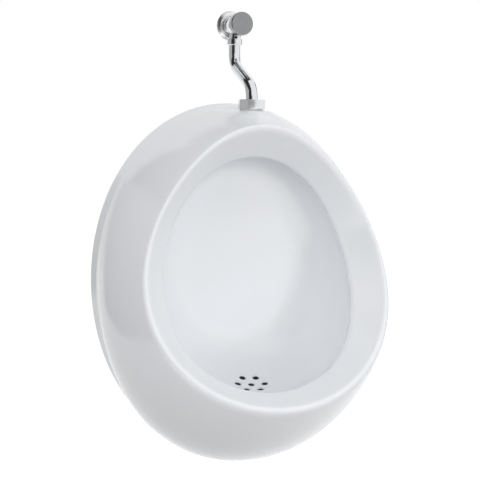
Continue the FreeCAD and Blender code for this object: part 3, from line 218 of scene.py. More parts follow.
def refine(name, material, body="urinal", bevel=0.0, sharp=32):
    """A merged copy of a node's mesh with its sharp edges rounded; it stands for the node."""
    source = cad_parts[name]
    bm = bmesh.new()
    bm.from_mesh(source.data)
    bmesh.ops.transform(bm, matrix=source.matrix_world, verts=bm.verts)
    bmesh.ops.remove_doubles(bm, verts=bm.verts, dist=1e-6)
    bmesh.ops.dissolve_limit(bm, angle_limit=math.radians(0.5), verts=bm.verts, edges=bm.edges)
    if bevel:
        edges = [edge for edge in bm.edges
                 if len(edge.link_faces) == 2 and edge.calc_face_angle() > math.radians(26)]
        bmesh.ops.bevel(bm, geom=edges, offset=bevel, offset_type="OFFSET", segments=3,
                        profile=0.5, affect="EDGES", clamp_overlap=True, material=-1)
        bmesh.ops.remove_doubles(bm, verts=bm.verts, dist=1e-6)
    bmesh.ops.recalc_face_normals(bm, faces=bm.faces)
    return finish_piece(bm, name + "_refined", material, body, sharp, [name])


# ---------------------------------------------------------------- egg shaped rings
def outline(half_width, top, bottom, taper, fullness, depths):
    """Points of one egg shaped ring, starting at the bottom."""
    depth_top, depth_side, depth_bottom = depths
    centre = (top + bottom) / 2
    half_height = (top - bottom) / 2
    tilt = (depth_top - depth_bottom) / 2
    bow = (depth_top + depth_bottom) / 2 - depth_side
    points = []
    for i in range(RING_SEGMENTS):
        angle = 2 * math.pi * i / RING_SEGMENTS - math.pi / 2
        up = math.sin(angle)
        width = half_width * (1 - taper * up + fullness * up * up)
        depth = depth_side + tilt * up + bow * up * up
        points.append(Vector((width * math.cos(angle), -depth, MIDDLE + centre + half_height * up)))
    return points


def blend_rings(first, second, share):
    return [a.lerp(b, share) for a, b in zip(first, second)]


def split(rings, share):
    """Both halves of a Bezier row of rings, cut at a share of its length."""
    left, right = [rings[0]], [rings[-1]]
    while len(rings) > 1:
        rings = [blend_rings(a, b, share) for a, b in zip(rings, rings[1:])]
        left.append(rings[0])
        right.insert(0, rings[-1])
    return left, right


def stretch(rings, start, end):
    after = split(rings, start)[1]
    return after if end >= 1 else split(after, (end - start) / (1 - start))[0]


def egg_rings(grow=0.0, recess=0.0):
    """The rings that steer the ware.  grow moves the outside in; recess moves the bowl out."""
    half, top = BODY_HALF_WIDTH - grow, BODY_HEIGHT / 2 - grow
    bottom = -top
    rim_top, rim_bottom = top - SETBACK_TOP, bottom + SETBACK_BOTTOM
    mouth_depths = [rim - fall for rim, fall in zip(RIM_DEPTHS, LIP_FALLS)]
    mouth_half = half + grow - SETBACK_SIDE - LIP_SIDE + recess
    mouth_top = rim_top + grow - LIP_TOP + recess
    mouth_bottom = rim_bottom - grow + LIP_BOTTOM - recess
    floor = mouth_bottom - FLOOR_DROP
    gap = BACK_GAP - recess
    return {
        "wall": outline(half, top, bottom, WALL_TAPER, WALL_FULLNESS, (0, 0, 0)),
        "shoulder": outline(half - BAND_INSET, top - BAND_INSET, bottom + BAND_INSET, WALL_TAPER,
                            WALL_FULLNESS, [BAND_DEPTH] * 3),
        "flank": outline(half + SWELL_SIDE, top - DROP_TOP, bottom - DROP_BOTTOM,
                         RIM_TAPER * 0.5, 0, [(BAND_DEPTH + depth) / 2 for depth in RIM_DEPTHS]),
        "rim": outline(half - SETBACK_SIDE, rim_top, rim_bottom, RIM_TAPER, -0.025, RIM_DEPTHS),
        "mouth": outline(mouth_half, mouth_top, mouth_bottom, RIM_TAPER * 0.72, 0.084,
                         mouth_depths),
        "belly": outline(mouth_half + BOWL_SWELL, mouth_top + BOWL_SWELL * 0.86, floor,
                         RIM_TAPER * 0.63, 0.06,
                         [depth * share for depth, share in zip(mouth_depths, (0.83, 0.81, 0.83))]),
        "hollow": outline(mouth_half - 3 * MM, mouth_top + BOWL_SWELL * 0.6, floor - 8 * MM,
                          RIM_TAPER * 0.49, 0.05, (gap + 5 * MM, gap + 3 * MM, gap * 2)),
        "back": outline(BACK_HALF_WIDTH + recess, mouth_top * 0.73, mouth_bottom * 0.75,
                        RIM_TAPER * 0.25, 0, [gap] * 3),
        "hub": Vector((0, -gap, MIDDLE + (mouth_top * 0.73 + mouth_bottom * 0.75) / 2)),
    }


def sampled(rows):
    stations = [rows[0][0][0]]
    for rings, count in rows:
        stations += [split(rings, i / count)[0][-1] for i in range(1, count + 1)]
    return stations


def toward_hub(egg):
    return [[egg["hub"].lerp(point, share) for point in egg["back"]]
            for share in (0.8, 0.55, 0.3, 0.1)]


def outside_rings(sunk=0.0):
    """From the wall over the rolled rim to the back of the bowl."""
    egg = egg_rings(sunk, sunk)
    band = stretch([egg["wall"], egg["shoulder"]], 0, DRAFT_POINT)
    flank = stretch([egg["shoulder"], egg["flank"], egg["rim"]], FLANK_START, CREST_START)
    slope = stretch([egg["rim"], egg["mouth"]], CREST_END, MOUTH_START)
    bowl = stretch([egg["mouth"], egg["belly"], egg["hollow"], egg["back"]], MOUTH_END, 1)
    return sampled([
        (band, 3),
        ([band[-1], egg["shoulder"], flank[0]], 6),
        (flank, 14),
        ([flank[-1], egg["rim"], slope[0]], 10),
        (slope, 4),
        ([slope[-1], egg["mouth"], bowl[0]], 8),
        (bowl, 22),
    ]) + toward_hub(egg)


def inside_rings():
    """The unglazed side: behind the bowl, then inside the outer wall and back to the wall."""
    bowl = egg_rings(recess=CERAMIC_WALL)
    shell = egg_rings(grow=CERAMIC_WALL)
    behind = stretch([bowl["mouth"], bowl["belly"], bowl["hollow"], bowl["back"]], 0.12, 1)
    flank = stretch([shell["shoulder"], shell["flank"], shell["rim"]], 0, 0.72)
    return (toward_hub(bowl)[::-1] + sampled([(behind, 12)])[::-1]
            + sampled([(flank, 8)])[::-1] + [shell["wall"]])


def flatten_inlet(bm):
    """Raise the flank into a flat land round the water inlet."""
    for vert in bm.verts:
        reach = math.hypot(vert.co.x, vert.co.y + INLET_DEPTH)
        if reach > INLET_LAND + INLET_BLEND or vert.co.z < NUT_SEAT - 14 * MM:
            continue
        share = min(1.0, max(0.0, 1 - (reach - INLET_LAND) / INLET_BLEND))
        share = share * share * (3 - 2 * share)
        vert.co.z += (NUT_SEAT - vert.co.z) * share


def drain_places():
    places = [(0.0, -DRAIN_DEPTH)]
    for i in range(6):
        angle = DRAIN_TURN + i * math.pi / 3
        places.append((DRAIN_SPACING * math.cos(angle),
                       -DRAIN_DEPTH + DRAIN_SPACING * math.sin(angle)))
    return places


def funnel(centre, aim):
    """Cutter of one drain hole: a bore whose mouth flares out to the glaze."""
    flare = [(DRAIN_RADIUS + DRAIN_FLARE * (1 - math.cos(k * math.pi / 12)),
              -DRAIN_FLARE * (1 - math.sin(k * math.pi / 12))) for k in range(7)]
    profile = [(0, -30 * MM), (DRAIN_RADIUS, -30 * MM)] + flare
    profile += [(DRAIN_RADIUS + DRAIN_FLARE * 1.4, 3 * MM), (0, 3 * MM)]
    bm = lathe(profile, segments=32, closed=False)
    bmesh.ops.rotate(bm, verts=bm.verts, cent=(0, 0, 0),
                     matrix=Vector((0, 0, 1)).rotation_difference(aim).to_matrix())
    bmesh.ops.translate(bm, verts=bm.verts, vec=centre)
    # Bore faces below the flare get the second slot, which carries the painted shade of the drain
    # holes.
    for face in bm.faces:
        face.material_index = int((face.calc_center_median() - centre).dot(aim) < -DRAIN_FLARE)
    return bm


def merge_into(target, source):
    mesh = bpy.data.meshes.new("scratch")
    source.to_mesh(mesh)
    source.free()
    target.from_mesh(mesh)
    bpy.data.meshes.remove(mesh)


def hole_cutters(tree):
    """Drain holes in the floor and spray holes under the top of the rim."""
    cutters = bmesh.new()
    for x, y in drain_places():
        spot, normal, _, _ = tree.ray_cast(Vector((x, y, MIDDLE)), Vector((0, 0, -1)))
        aim = normal if normal.z > 0 else -normal
        merge_into(cutters, funnel(spot, aim))
    arch = Vector((0, -INLET_DEPTH, MIDDLE + BODY_HEIGHT / 2 - GALLERY_BELOW_TOP - GALLERY_ARC))
    spread = 2 * (GALLERY_HALF_ANGLE - math.radians(4))
    for i in range(SPRAY_HOLES):
        angle = spread * (i / (SPRAY_HOLES - 1) - 0.5)
        out = Vector((math.sin(angle), 0, math.cos(angle)))
        bm = bmesh.new()
        bmesh.ops.create_cone(bm, cap_ends=True, segments=20, radius1=SPRAY_RADIUS,
                              radius2=SPRAY_RADIUS, depth=40 * MM)
        bmesh.ops.rotate(bm, verts=bm.verts, cent=(0, 0, 0),
                         matrix=Vector((0, 0, 1)).rotation_difference(out).to_matrix())
        bmesh.ops.translate(bm, verts=bm.verts, vec=arch + out * (GALLERY_ARC - 20 * MM))
        merge_into(cutters, bm)
    return cutters


def combine(bm, other, name, operation="DIFFERENCE"):
    """The bmesh minus the other one, or what they share, as a mesh."""
    things = []
    for label, source in ((name, bm), ("cutters", other)):
        mesh = bpy.data.meshes.new(label)
        source.to_mesh(mesh)
        source.free()
        things.append(bpy.data.objects.new(label, mesh))
        bpy.context.scene.collection.objects.link(things[-1])
    boolean = things[0].modifiers.new("boolean", "BOOLEAN")
    boolean.operation = operation
    boolean.solver = "EXACT"
    boolean.object = things[1]
    bpy.context.view_layer.update()
    mesh = bpy.data.meshes.new_from_object(
        things[0].evaluated_get(bpy.context.evaluated_depsgraph_get()))
    for thing in things:
        bpy.data.objects.remove(thing)
    return mesh


def make_ceramic(material):
    skin = bmesh.new()
    for end in skin_rings(skin, inside_rings() + outside_rings()):
        bmesh.ops.contextual_create(skin, geom=end)
    bmesh.ops.recalc_face_normals(skin, faces=skin.faces)
    tree = BVHTree.FromBMesh(skin)
    flatten_inlet(skin)
    mesh = combine(skin, hole_cutters(tree), "ceramic_skin")
    deep = [face.material_index for face in mesh.polygons]
    finish_mesh(mesh, "ceramic_ware", material, "urinal", 40,
                ["ceramic_bowl", "ceramic_shell"])
    # The deep bore faces get the painted drain shade as their finish.
    mesh.materials.append(MATERIALS["painted_drain_shade"])
    mesh.polygons.foreach_set("material_index", deep)


def block(x_range, depths, z_range):
    """Box given by its ranges; depths count out of the wall."""
    bm = bmesh.new()
    bmesh.ops.create_cube(bm, size=1.0)
    low = Vector((x_range[0], -depths[1], z_range[0]))
    high = Vector((x_range[1], -depths[0], z_range[1]))
    bmesh.ops.scale(bm, verts=bm.verts, vec=high - low)
    bmesh.ops.translate(bm, verts=bm.verts, vec=(high + low) / 2)
    return bm


def gallery_arch():
    """Outside of the flush channel, an arch of square section over the bowl."""
    half = GALLERY_HALF_WIDTH + CERAMIC_WALL
    bm = bmesh.new()
    corners = [bm.verts.new((0, -INLET_DEPTH + y, GALLERY_ARC + z))
               for y, z in ((-half, -half), (half, -half), (half, half), (-half, half))]
    face = bm.faces.new(corners)
    bmesh.ops.rotate(bm, verts=bm.verts, cent=(0, 0, 0),
                     matrix=Matrix.Rotation(-GALLERY_HALF_ANGLE, 3, "Y"))
    bmesh.ops.spin(bm, geom=[face], cent=(0, 0, 0), axis=(0, 1, 0),
                   angle=2 * GALLERY_HALF_ANGLE, steps=32)
    bmesh.ops.translate(bm, verts=bm.verts, vec=(
        0, 0, MIDDLE + BODY_HEIGHT / 2 - GALLERY_BELOW_TOP - GALLERY_ARC))
    bmesh.ops.recalc_face_normals(bm, faces=bm.faces)
    return bm


def make_ribs(material):
    """What shows from behind: the hanging ledge, the flush channel and the inlet boss."""
    ledge = block((-BODY_HALF_WIDTH, BODY_HALF_WIDTH), LEDGE_DEPTHS,
                  (LEDGE_HEIGHT, LEDGE_HEIGHT + LEDGE_THICKNESS))
    slots = bmesh.new()
    for side in (-1, 1):
        merge_into(slots, block(
            (side * SLOT_OFFSET - SLOT_HALF_WIDTH, side * SLOT_OFFSET + SLOT_HALF_WIDTH),
            SLOT_DEPTHS, (LEDGE_HEIGHT - 10 * MM, LEDGE_HEIGHT + 30 * MM)))
    slotted = bmesh.new()
    slotted.from_mesh(combine(ledge, slots, "slotted_ledge"))
    boss = lathe([(0, -4 * CERAMIC_WALL), (INLET_BOSS_RADIUS + CERAMIC_WALL / 2, -4 * CERAMIC_WALL),
                  (INLET_BOSS_RADIUS + CERAMIC_WALL / 2, -4 * MM), (0, -4 * MM)], 64, "Z",
                 (0, -INLET_DEPTH, NUT_SEAT), closed=False)
    for name, rib in (("ledge", slotted), ("flush_channel", gallery_arch()), ("inlet_boss", boss)):
        limit = bmesh.new()
        for end in skin_rings(limit, outside_rings(RIB_SINK)):
            bmesh.ops.contextual_create(limit, geom=end)
        bmesh.ops.recalc_face_normals(limit, faces=limit.faces)
        mesh = combine(rib, limit, name, "INTERSECT")
        finish_mesh(mesh, name + "_rib", material, "urinal", 40,
                    ["ceramic_shell"])


# ---------------------------------------------------------------- valve and flush pipe
def in_millimetres(corners):
    return [(radius * MM, height * MM) for radius, height in corners]


def turned_piece(name, corners, radius, material, body="urinal", centre=None, axis="Y"):
    """Lathe a profile with rounded corners; it stands for the node of that name."""
    profile = rounded(in_millimetres(corners), radius * MM)
    bm = lathe(profile, 96, axis, centre or (0, 0, VALVE_HEIGHT))
    return finish_piece(bm, name + "_turned", material, body, 40, [name])


def branch_neck():
    """Outlet neck, flaring out where it meets the barrel."""
    profile = in_millimetres([(6, 0), (8.2, 0), (8.6, 0.4), (8.3, 3), (7.7, 6), (7.4, 8),
                              (7.7, 10), (8.5, 11.6), (9.6, 12.8), (6, 13.5)])
    return lathe(profile, 72, "Z", (0, -BRANCH_DEPTH, VALVE_HEIGHT - BRANCH_LENGTH))


def make_valve(chrome, painted_shade_cap):
    turned_piece("wall_flange", [(13.3, 0), (20.5, 0), (20.5, 1.6), (18.9, 3.2), (16.2, 5),
                                 (13.3, 5)], 0.8, MATERIALS["satin_chrome"])
    barrel = lathe(rounded(in_millimetres([
        (10.48, -16), (10.48, 0), (13, 0), (13, 29), (8.5, 29), (8.5, -4), (6, -4), (6, -16)]),
        0.5 * MM), 96, "Y", (0, 0, VALVE_HEIGHT))
    merge_into(barrel, branch_neck())
    finish_piece(barrel, "valve_body_turned", chrome, "urinal", 40,
                 ["valve_body"])
    turned_piece("bonnet", [(4.22, 23), (8.5, 23), (8.5, 29), (12.5, 29), (12.5, 32), (7, 32),
                            (7, 36), (2.56, 36), (2.56, 24.92), (4.22, 24.92)], 0.5, chrome)
    turned_piece("outlet_nut", [(8.3, -7), (9.6, -7), (10.5, -6.1), (10.5, 1.2), (8.65, 1.2),
                                (8.65, -4.9), (8.3, -4.9)], 0.3, chrome,
                 centre=(0, -BRANCH_DEPTH, VALVE_HEIGHT - BRANCH_LENGTH), axis="Z")
    # The cap's finish has painted shade in its dark base colour.
    turned_piece("button_cap", [(0, 44.9), (0, 46.4), (14.4, 47), (15.24, 46.64), (15.6, 45.8),
                                (15.6, 36), (13.8, 36), (13.8, 43.5), (5, 43.5), (5, 42.3),
                                (2.5, 42.3), (2.5, 44.9)], 0.45, painted_shade_cap,
                 "push_button")


def make_spring(steel):
    """A merged copy of the return spring with a mesh of its own. The real spring shortens toward
    its foot as the button goes in; this copy is not shortened here.
    """
    spring = refine("return_spring", steel)
    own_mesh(spring)


def pipe_stations(steps=20):
    """Places and directions along the pipe: two equal bends joined by their inner tangent."""
    bend = PIPE_BEND_RADIUS
    last_bend = VALVE_HEIGHT - BRANCH_LENGTH - PIPE_UPPER_STRAIGHT
    across = INLET_DEPTH - BRANCH_DEPTH - 2 * bend
    rise = last_bend - PIPE_FIRST_BEND
    between = math.hypot(across, rise)
    run = math.sqrt(between ** 2 - 4 * bend ** 2)
    angle = math.atan2(across, rise) + math.asin(2 * bend / between)
    stations = [((-INLET_DEPTH, PIPE_LOW), 0.0)]
    for i in range(steps + 1):
        tilt = angle * i / steps
        stations.append(((-INLET_DEPTH + bend * (1 - math.cos(tilt)),
                          PIPE_FIRST_BEND + bend * math.sin(tilt)), tilt))
    (depth, height), _ = stations[-1]
    for i in range(1, 7):
        stations.append(((depth + math.sin(angle) * run * i / 6,
                          height + math.cos(angle) * run * i / 6), angle))
    for i in range(1, steps + 1):
        tilt = angle * (1 - i / steps)
        stations.append(((-BRANCH_DEPTH - bend * (1 - math.cos(tilt)),
                          last_bend - bend * math.sin(tilt)), tilt))
    stations.append(((-BRANCH_DEPTH, VALVE_HEIGHT - BRANCH_LENGTH), 0.0))
    return stations


def pipe_ring(station, radius, segments=64):
    (depth, height), tilt = station
    points = []
    for i in range(segments):
        around = 2 * math.pi * i / segments
        forward = radius * math.sin(around)
        points.append(Vector((radius * math.cos(around), depth + forward * math.cos(tilt),
                              height - forward * math.sin(tilt))))
    return points


def make_flush_pipe(chrome):
    stations = pipe_stations()
    outside = [pipe_ring(station, PIPE_RADIUS) for station in stations]
    inside = [pipe_ring(station, PIPE_RADIUS - PIPE_WALL) for station in reversed(stations)]
    bm = bmesh.new()
    skin_rings(bm, outside + inside + outside[:1])
    bmesh.ops.remove_doubles(bm, verts=bm.verts, dist=1e-7)
    bmesh.ops.recalc_face_normals(bm, faces=bm.faces)
    finish_piece(bm, "flush_pipe_bent", chrome, "urinal", 50, ["flush_pipe"])


# ---------------------------------------------------------------- materials
def group_socket(group, name, direction, kind, value=None):
    socket = group.interface.new_socket(name=name, in_out=direction, socket_type=kind)
    if value is not None:
        socket.default_value = value
    return socket


def surface_group():
    """Uneven tone, fine texture height and smudges, from Object coordinates."""
    group = bpy.data.node_groups.new("uneven_surface", "ShaderNodeTree")
    group_socket(group, "Broad Scale", "INPUT", "NodeSocketFloat", 8.0)
    group_socket(group, "Fine Scale", "INPUT", "NodeSocketFloat", 400.0)
    group_socket(group, "Tone", "OUTPUT", "NodeSocketFloat")
    group_socket(group, "Fine", "OUTPUT", "NodeSocketFloat")
    group_socket(group, "Smudge", "OUTPUT", "NodeSocketFloat")
    nodes, links = group.nodes, group.links
    inputs = nodes.new("NodeGroupInput")
    outputs = nodes.new("NodeGroupOutput")
    place = nodes.new("ShaderNodeTexCoord")
    broad = nodes.new("ShaderNodeTexNoise")
    broad.inputs["Detail"].default_value = 3
    fine = nodes.new("ShaderNodeTexNoise")
    fine.inputs["Detail"].default_value = 4
    smudge = nodes.new("ShaderNodeTexNoise")
    smudge.inputs["Detail"].default_value = 6
    smudge.inputs["Distortion"].default_value = 0.8
    wider = nodes.new("ShaderNodeMath")
    wider.operation = "MULTIPLY"
    wider.inputs[1].default_value = 3.0
    for texture in (broad, fine, smudge):
        links.new(place.outputs["Object"], texture.inputs["Vector"])
    links.new(inputs.outputs["Broad Scale"], broad.inputs["Scale"])
    links.new(inputs.outputs["Broad Scale"], wider.inputs[0])
    links.new(wider.outputs[0], smudge.inputs["Scale"])
    links.new(inputs.outputs["Fine Scale"], fine.inputs["Scale"])
    links.new(broad.outputs["Fac"], outputs.inputs["Tone"])
    links.new(fine.outputs["Fac"], outputs.inputs["Fine"])
    links.new(smudge.outputs["Fac"], outputs.inputs["Smudge"])
    return group


SURFACE = surface_group()


def material_base(name, colour, roughness, metallic=0.0):
    material = bpy.data.materials.new(name)
    material.use_nodes = True
    shader = material.node_tree.nodes["Principled BSDF"]
    shader.inputs["Base Color"].default_value = (*colour, 1)
    shader.inputs["Roughness"].default_value = roughness
    shader.inputs["Metallic"].default_value = metallic
    return material, material.node_tree.nodes, material.node_tree.links, shader


def uneven(nodes, links, broad, fine):
    texture = nodes.new("ShaderNodeGroup")
    texture.node_tree = SURFACE
    texture.inputs["Broad Scale"].default_value = broad
    texture.inputs["Fine Scale"].default_value = fine
    return texture


def ramp_colour(nodes, links, factor, low, high, shader):
    mix = nodes.new("ShaderNodeMix")
    mix.data_type = "RGBA"
    mix.inputs["A"].default_value = (*low, 1)
    mix.inputs["B"].default_value = (*high, 1)
    links.new(factor, mix.inputs["Factor"])
    links.new(mix.outputs["Result"], shader.inputs["Base Color"])


def ramp_value(nodes, links, factor, low, high, target):
    """Map a 0.3 to 0.7 noise to a range of values."""
    spread = nodes.new("ShaderNodeMapRange")
    spread.inputs["From Min"].default_value = 0.3
    spread.inputs["From Max"].default_value = 0.7
    spread.inputs["To Min"].default_value = low
    spread.inputs["To Max"].default_value = high
    links.new(factor, spread.inputs["Value"])
    links.new(spread.outputs["Result"], target)


def add_bump(nodes, links, height, shader, strength, distance):
    bump = nodes.new("ShaderNodeBump")
    bump.inputs["Strength"].default_value = strength
    bump.inputs["Distance"].default_value = distance
    links.new(height, bump.inputs["Height"])
    links.new(bump.outputs["Normal"], shader.inputs["Normal"])


def glazed_ceramic():
    material, nodes, links, shader = material_base("white_glaze", (0.83, 0.84, 0.855), 0.1)
    shader.inputs["IOR"].default_value = 1.52
    shader.inputs["Coat Weight"].default_value = 0.2
    shader.inputs["Coat Roughness"].default_value = 0.05
    texture = uneven(nodes, links, 5, 55)
    ramp_colour(nodes, links, texture.outputs["Tone"], (0.815, 0.827, 0.845),
                (0.845, 0.853, 0.865), shader)
    ramp_value(nodes, links, texture.outputs["Smudge"], 0.13, 0.22, shader.inputs["Roughness"])
    add_bump(nodes, links, texture.outputs["Fine"], shader, 0.12, 0.0004)
    return material


def painted_drain_shade():
    """Painted shade on the walls of the drain holes: a near-black colour with an uneven tone stands
    in for the shadow deep inside them.
    """
    material, nodes, links, shader = material_base("painted_drain_shade", (0.06, 0.06, 0.055), 0.35)
    texture = uneven(nodes, links, 60, 900)
    ramp_colour(nodes, links, texture.outputs["Tone"], (0.035, 0.035, 0.033), (0.09, 0.088, 0.08),
                shader)
    ramp_value(nodes, links, texture.outputs["Smudge"], 0.25, 0.5, shader.inputs["Roughness"])
    add_bump(nodes, links, texture.outputs["Fine"], shader, 0.2, 0.0001)
    return material


def bright_chrome():
    material, nodes, links, shader = material_base("bright_chrome", (0.78, 0.79, 0.8), 0.07, 1)
    texture = uneven(nodes, links, 30, 900)
    ramp_colour(nodes, links, texture.outputs["Tone"], (0.72, 0.73, 0.745), (0.82, 0.83, 0.84),
                shader)
    ramp_value(nodes, links, texture.outputs["Smudge"], 0.11, 0.16, shader.inputs["Roughness"])
    add_bump(nodes, links, texture.outputs["Fine"], shader, 0.02, 0.000005)
    return material


def satin_chrome():
    """Softer plating of the wall flange."""
    material, nodes, links, shader = material_base("satin_chrome", (0.85, 0.855, 0.86), 0.34, 1)
    texture = uneven(nodes, links, 30, 900)
    ramp_colour(nodes, links, texture.outputs["Tone"], (0.82, 0.825, 0.83), (0.88, 0.885, 0.89),
                shader)
    ramp_value(nodes, links, texture.outputs["Smudge"], 0.3, 0.4, shader.inputs["Roughness"])
    add_bump(nodes, links, texture.outputs["Fine"], shader, 0.05, 0.00002)
    return material


def turned_chrome():
    """Face of the push button: fine rings left by the lathe round the valve axis. Its dark base
    colour is painted shade, standing in for the dim reflection that the face shows.
    """
    material, nodes, links, shader = material_base("turned_chrome", (0.7, 0.71, 0.72), 0.24, 1)
    place = nodes.new("ShaderNodeTexCoord")
    centre = nodes.new("ShaderNodeMapping")
    centre.inputs["Location"].default_value = (0, 0, -VALVE_HEIGHT)
    rings = nodes.new("ShaderNodeTexWave")
    rings.wave_type = "RINGS"
    rings.rings_direction = "Y"
    rings.inputs["Scale"].default_value = 160
    rings.inputs["Distortion"].default_value = 0.2
    links.new(place.outputs["Object"], centre.inputs["Vector"])
    links.new(centre.outputs["Vector"], rings.inputs["Vector"])
    shader.inputs["Anisotropic"].default_value = 0.75
    tangent = nodes.new("ShaderNodeTangent")
    tangent.direction_type = "RADIAL"
    tangent.axis = "Y"
    links.new(tangent.outputs["Tangent"], shader.inputs["Tangent"])
    ramp_value(nodes, links, rings.outputs["Fac"], 0.22, 0.26, shader.inputs["Roughness"])
    # Dark base colour: painted shade for the cap's dim reflection; the ring pattern only varies it
    # slightly.
    ramp_colour(nodes, links, rings.outputs["Fac"], (0.27, 0.273, 0.277), (0.31, 0.313, 0.317),
                shader)
    add_bump(nodes, links, rings.outputs["Fac"], shader, 0.02, 0.000003)
    return material


def turned_brass():
    material, nodes, links, shader = material_base("turned_brass", (0.72, 0.53, 0.24), 0.28, 1)
    texture = uneven(nodes, links, 40, 700)
    ramp_colour(nodes, links, texture.outputs["Tone"], (0.6, 0.42, 0.17), (0.78, 0.6, 0.3), shader)
    ramp_value(nodes, links, texture.outputs["Smudge"], 0.2, 0.42, shader.inputs["Roughness"])
    add_bump(nodes, links, texture.outputs["Fine"], shader, 0.2, 0.0001)
    return material


def black_rubber():
    material, nodes, links, shader = material_base("black_rubber", (0.025, 0.025, 0.027), 0.6)
    texture = uneven(nodes, links, 30, 900)
    ramp_colour(nodes, links, texture.outputs["Tone"], (0.018, 0.018, 0.02), (0.04, 0.04, 0.042),
                shader)
    ramp_value(nodes, links, texture.outputs["Smudge"], 0.5, 0.75, shader.inputs["Roughness"])
    add_bump(nodes, links, texture.outputs["Fine"], shader, 0.3, 0.0001)
    return material


def pale_rubber():
    material, nodes, links, shader = material_base("pale_rubber", (0.62, 0.62, 0.6), 0.55)
    texture = uneven(nodes, links, 30, 900)
    ramp_colour(nodes, links, texture.outputs["Tone"], (0.56, 0.56, 0.54), (0.66, 0.66, 0.64),
                shader)
    ramp_value(nodes, links, texture.outputs["Smudge"], 0.45, 0.65, shader.inputs["Roughness"])
    add_bump(nodes, links, texture.outputs["Fine"], shader, 0.3, 0.0001)
    return material


def zinc_steel(name="zinc_steel", colour=(0.56, 0.57, 0.58)):
    material, nodes, links, shader = material_base(name, colour, 0.38, 1)
    texture = uneven(nodes, links, 25, 500)
    darker = tuple(part * 0.82 for part in colour)
    ramp_colour(nodes, links, texture.outputs["Tone"], darker, colour, shader)
    ramp_value(nodes, links, texture.outputs["Smudge"], 0.28, 0.5, shader.inputs["Roughness"])
    add_bump(nodes, links, texture.outputs["Fine"], shader, 0.2, 0.0001)
    return material


def white_plastic():
    material, nodes, links, shader = material_base("white_plastic", (0.78, 0.78, 0.765), 0.38)
    texture = uneven(nodes, links, 20, 600)
    ramp_colour(nodes, links, texture.outputs["Tone"], (0.74, 0.74, 0.72), (0.8, 0.8, 0.785),
                shader)
    ramp_value(nodes, links, texture.outputs["Smudge"], 0.3, 0.46, shader.inputs["Roughness"])
    add_bump(nodes, links, texture.outputs["Fine"], shader, 0.15, 0.0001)
    return material


MATERIALS = {
    "white_glaze": glazed_ceramic(),
    "painted_drain_shade": painted_drain_shade(),
    "bright_chrome": bright_chrome(),
    "satin_chrome": satin_chrome(),
    "turned_chrome": turned_chrome(),
    "turned_brass": turned_brass(),
    "black_rubber": black_rubber(),
    "pale_rubber": pale_rubber(),
    "zinc_steel": zinc_steel(),
    "spring_steel": zinc_steel("spring_steel", (0.5, 0.5, 0.51)),
    "white_plastic": white_plastic(),
}
NODE_FINISH = {
    "white_glaze": ["ceramic_outlet"],
    "turned_chrome": ["button_cap"],
    "bright_chrome": ["union_nut", "flush_pipe", "valve_body", "wall_flange", "outlet_nut",
                      "bonnet"],
    "turned_brass": ["inlet_spud", "valve_seat", "valve_stem", "poppet"],
    "pale_rubber": ["inlet_bush"],
    "black_rubber": ["pipe_seal", "stem_seal", "outlet_seal", "poppet_washer",
                     "cup_seal", "horn_seal"],
    "zinc_steel": ["hanger_bracket_left", "hanger_bracket_right", "bracket_screws",
                   "bracket_washers", "inlet_strainer"],
    "spring_steel": ["return_spring"],
    "white_plastic": ["trap_body", "trap_baffle", "trap_cup", "waste_pipe"],
}


def dress_nodes():
    for finish, names in NODE_FINISH.items():
        for name in names:
            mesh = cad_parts[name].data
            mesh.materials.clear()
            mesh.materials.append(MATERIALS[finish])


# ---------------------------------------------------------------- studio
def camera():
    """The photograph's viewpoint: from the left and a little above."""
    around, above, roll = math.radians(21), math.radians(8), math.radians(1.169)
    aim = Vector((20.671 * MM, 0, 210.543 * MM))
    back = Vector((-math.sin(around) * math.cos(above), -math.cos(around) * math.cos(above),
                   math.sin(above)))
    ahead = -back
    right = ahead.cross(Vector((0, 0, 1))).normalized()
    up = right.cross(ahead)
    turned_right = right * math.cos(roll) + up * math.sin(roll)
    turned_up = up * math.cos(roll) - right * math.sin(roll)
    data = bpy.data.cameras.new("camera")
    data.sensor_width = 36
    data.lens = 67.28
    data.clip_start = 0.05
    cam = bpy.data.objects.new("camera", data)
    bpy.context.scene.collection.objects.link(cam)
    turn = Matrix((turned_right, turned_up, back)).transposed()
    cam.matrix_world = Matrix.Translation(aim + back * 1.3) @ turn.to_4x4()
    bpy.context.scene.camera = cam


def softbox(name, place, aim, width, height, power):
    light = bpy.data.lights.new(name, "AREA")
    light.shape = "RECTANGLE"
    light.size = width
    light.size_y = height
    light.energy = power
    lamp = bpy.data.objects.new(name, light)
    bpy.context.scene.collection.objects.link(lamp)
    lamp.visible_glossy = False  # reflections show the white room instead
    lamp.location = place
    lamp.rotation_euler = (Vector(aim) - Vector(place)).to_track_quat("-Z", "Y").to_euler()


def add_maximum(nodes, links, *factors):
    """The largest of several factors."""
    result = factors[0]
    for factor in factors[1:]:
        largest = nodes.new("ShaderNodeMath")
        largest.operation = "MAXIMUM"
        links.new(result, largest.inputs[0])
        links.new(factor, largest.inputs[1])
        result = largest.outputs[0]
    return result


def rays_that_see_white(nodes, links):
    path = nodes.new("ShaderNodeLightPath")
    return add_maximum(nodes, links, path.outputs["Is Camera Ray"], path.outputs["Is Glossy Ray"],
                       path.outputs["Is Transmission Ray"])


def studio_world():
    """A dim room whose walls look white."""
    world = bpy.data.worlds.new("studio")
    bpy.context.scene.world = world
    world.use_nodes = True
    nodes, links = world.node_tree.nodes, world.node_tree.links
    dim = nodes["Background"]
    dim.inputs["Color"].default_value = (0.95, 0.97, 1.0, 1)
    dim.inputs["Strength"].default_value = WORLD_FILL
    white = nodes.new("ShaderNodeBackground")
    white.inputs["Color"].default_value = (1, 1, 1, 1)
    seen = nodes.new("ShaderNodeMixShader")
    links.new(rays_that_see_white(nodes, links), seen.inputs["Fac"])
    links.new(dim.outputs[0], seen.inputs[1])
    links.new(white.outputs[0], seen.inputs[2])
    links.new(seen.outputs[0], nodes["World Output"].inputs["Surface"])


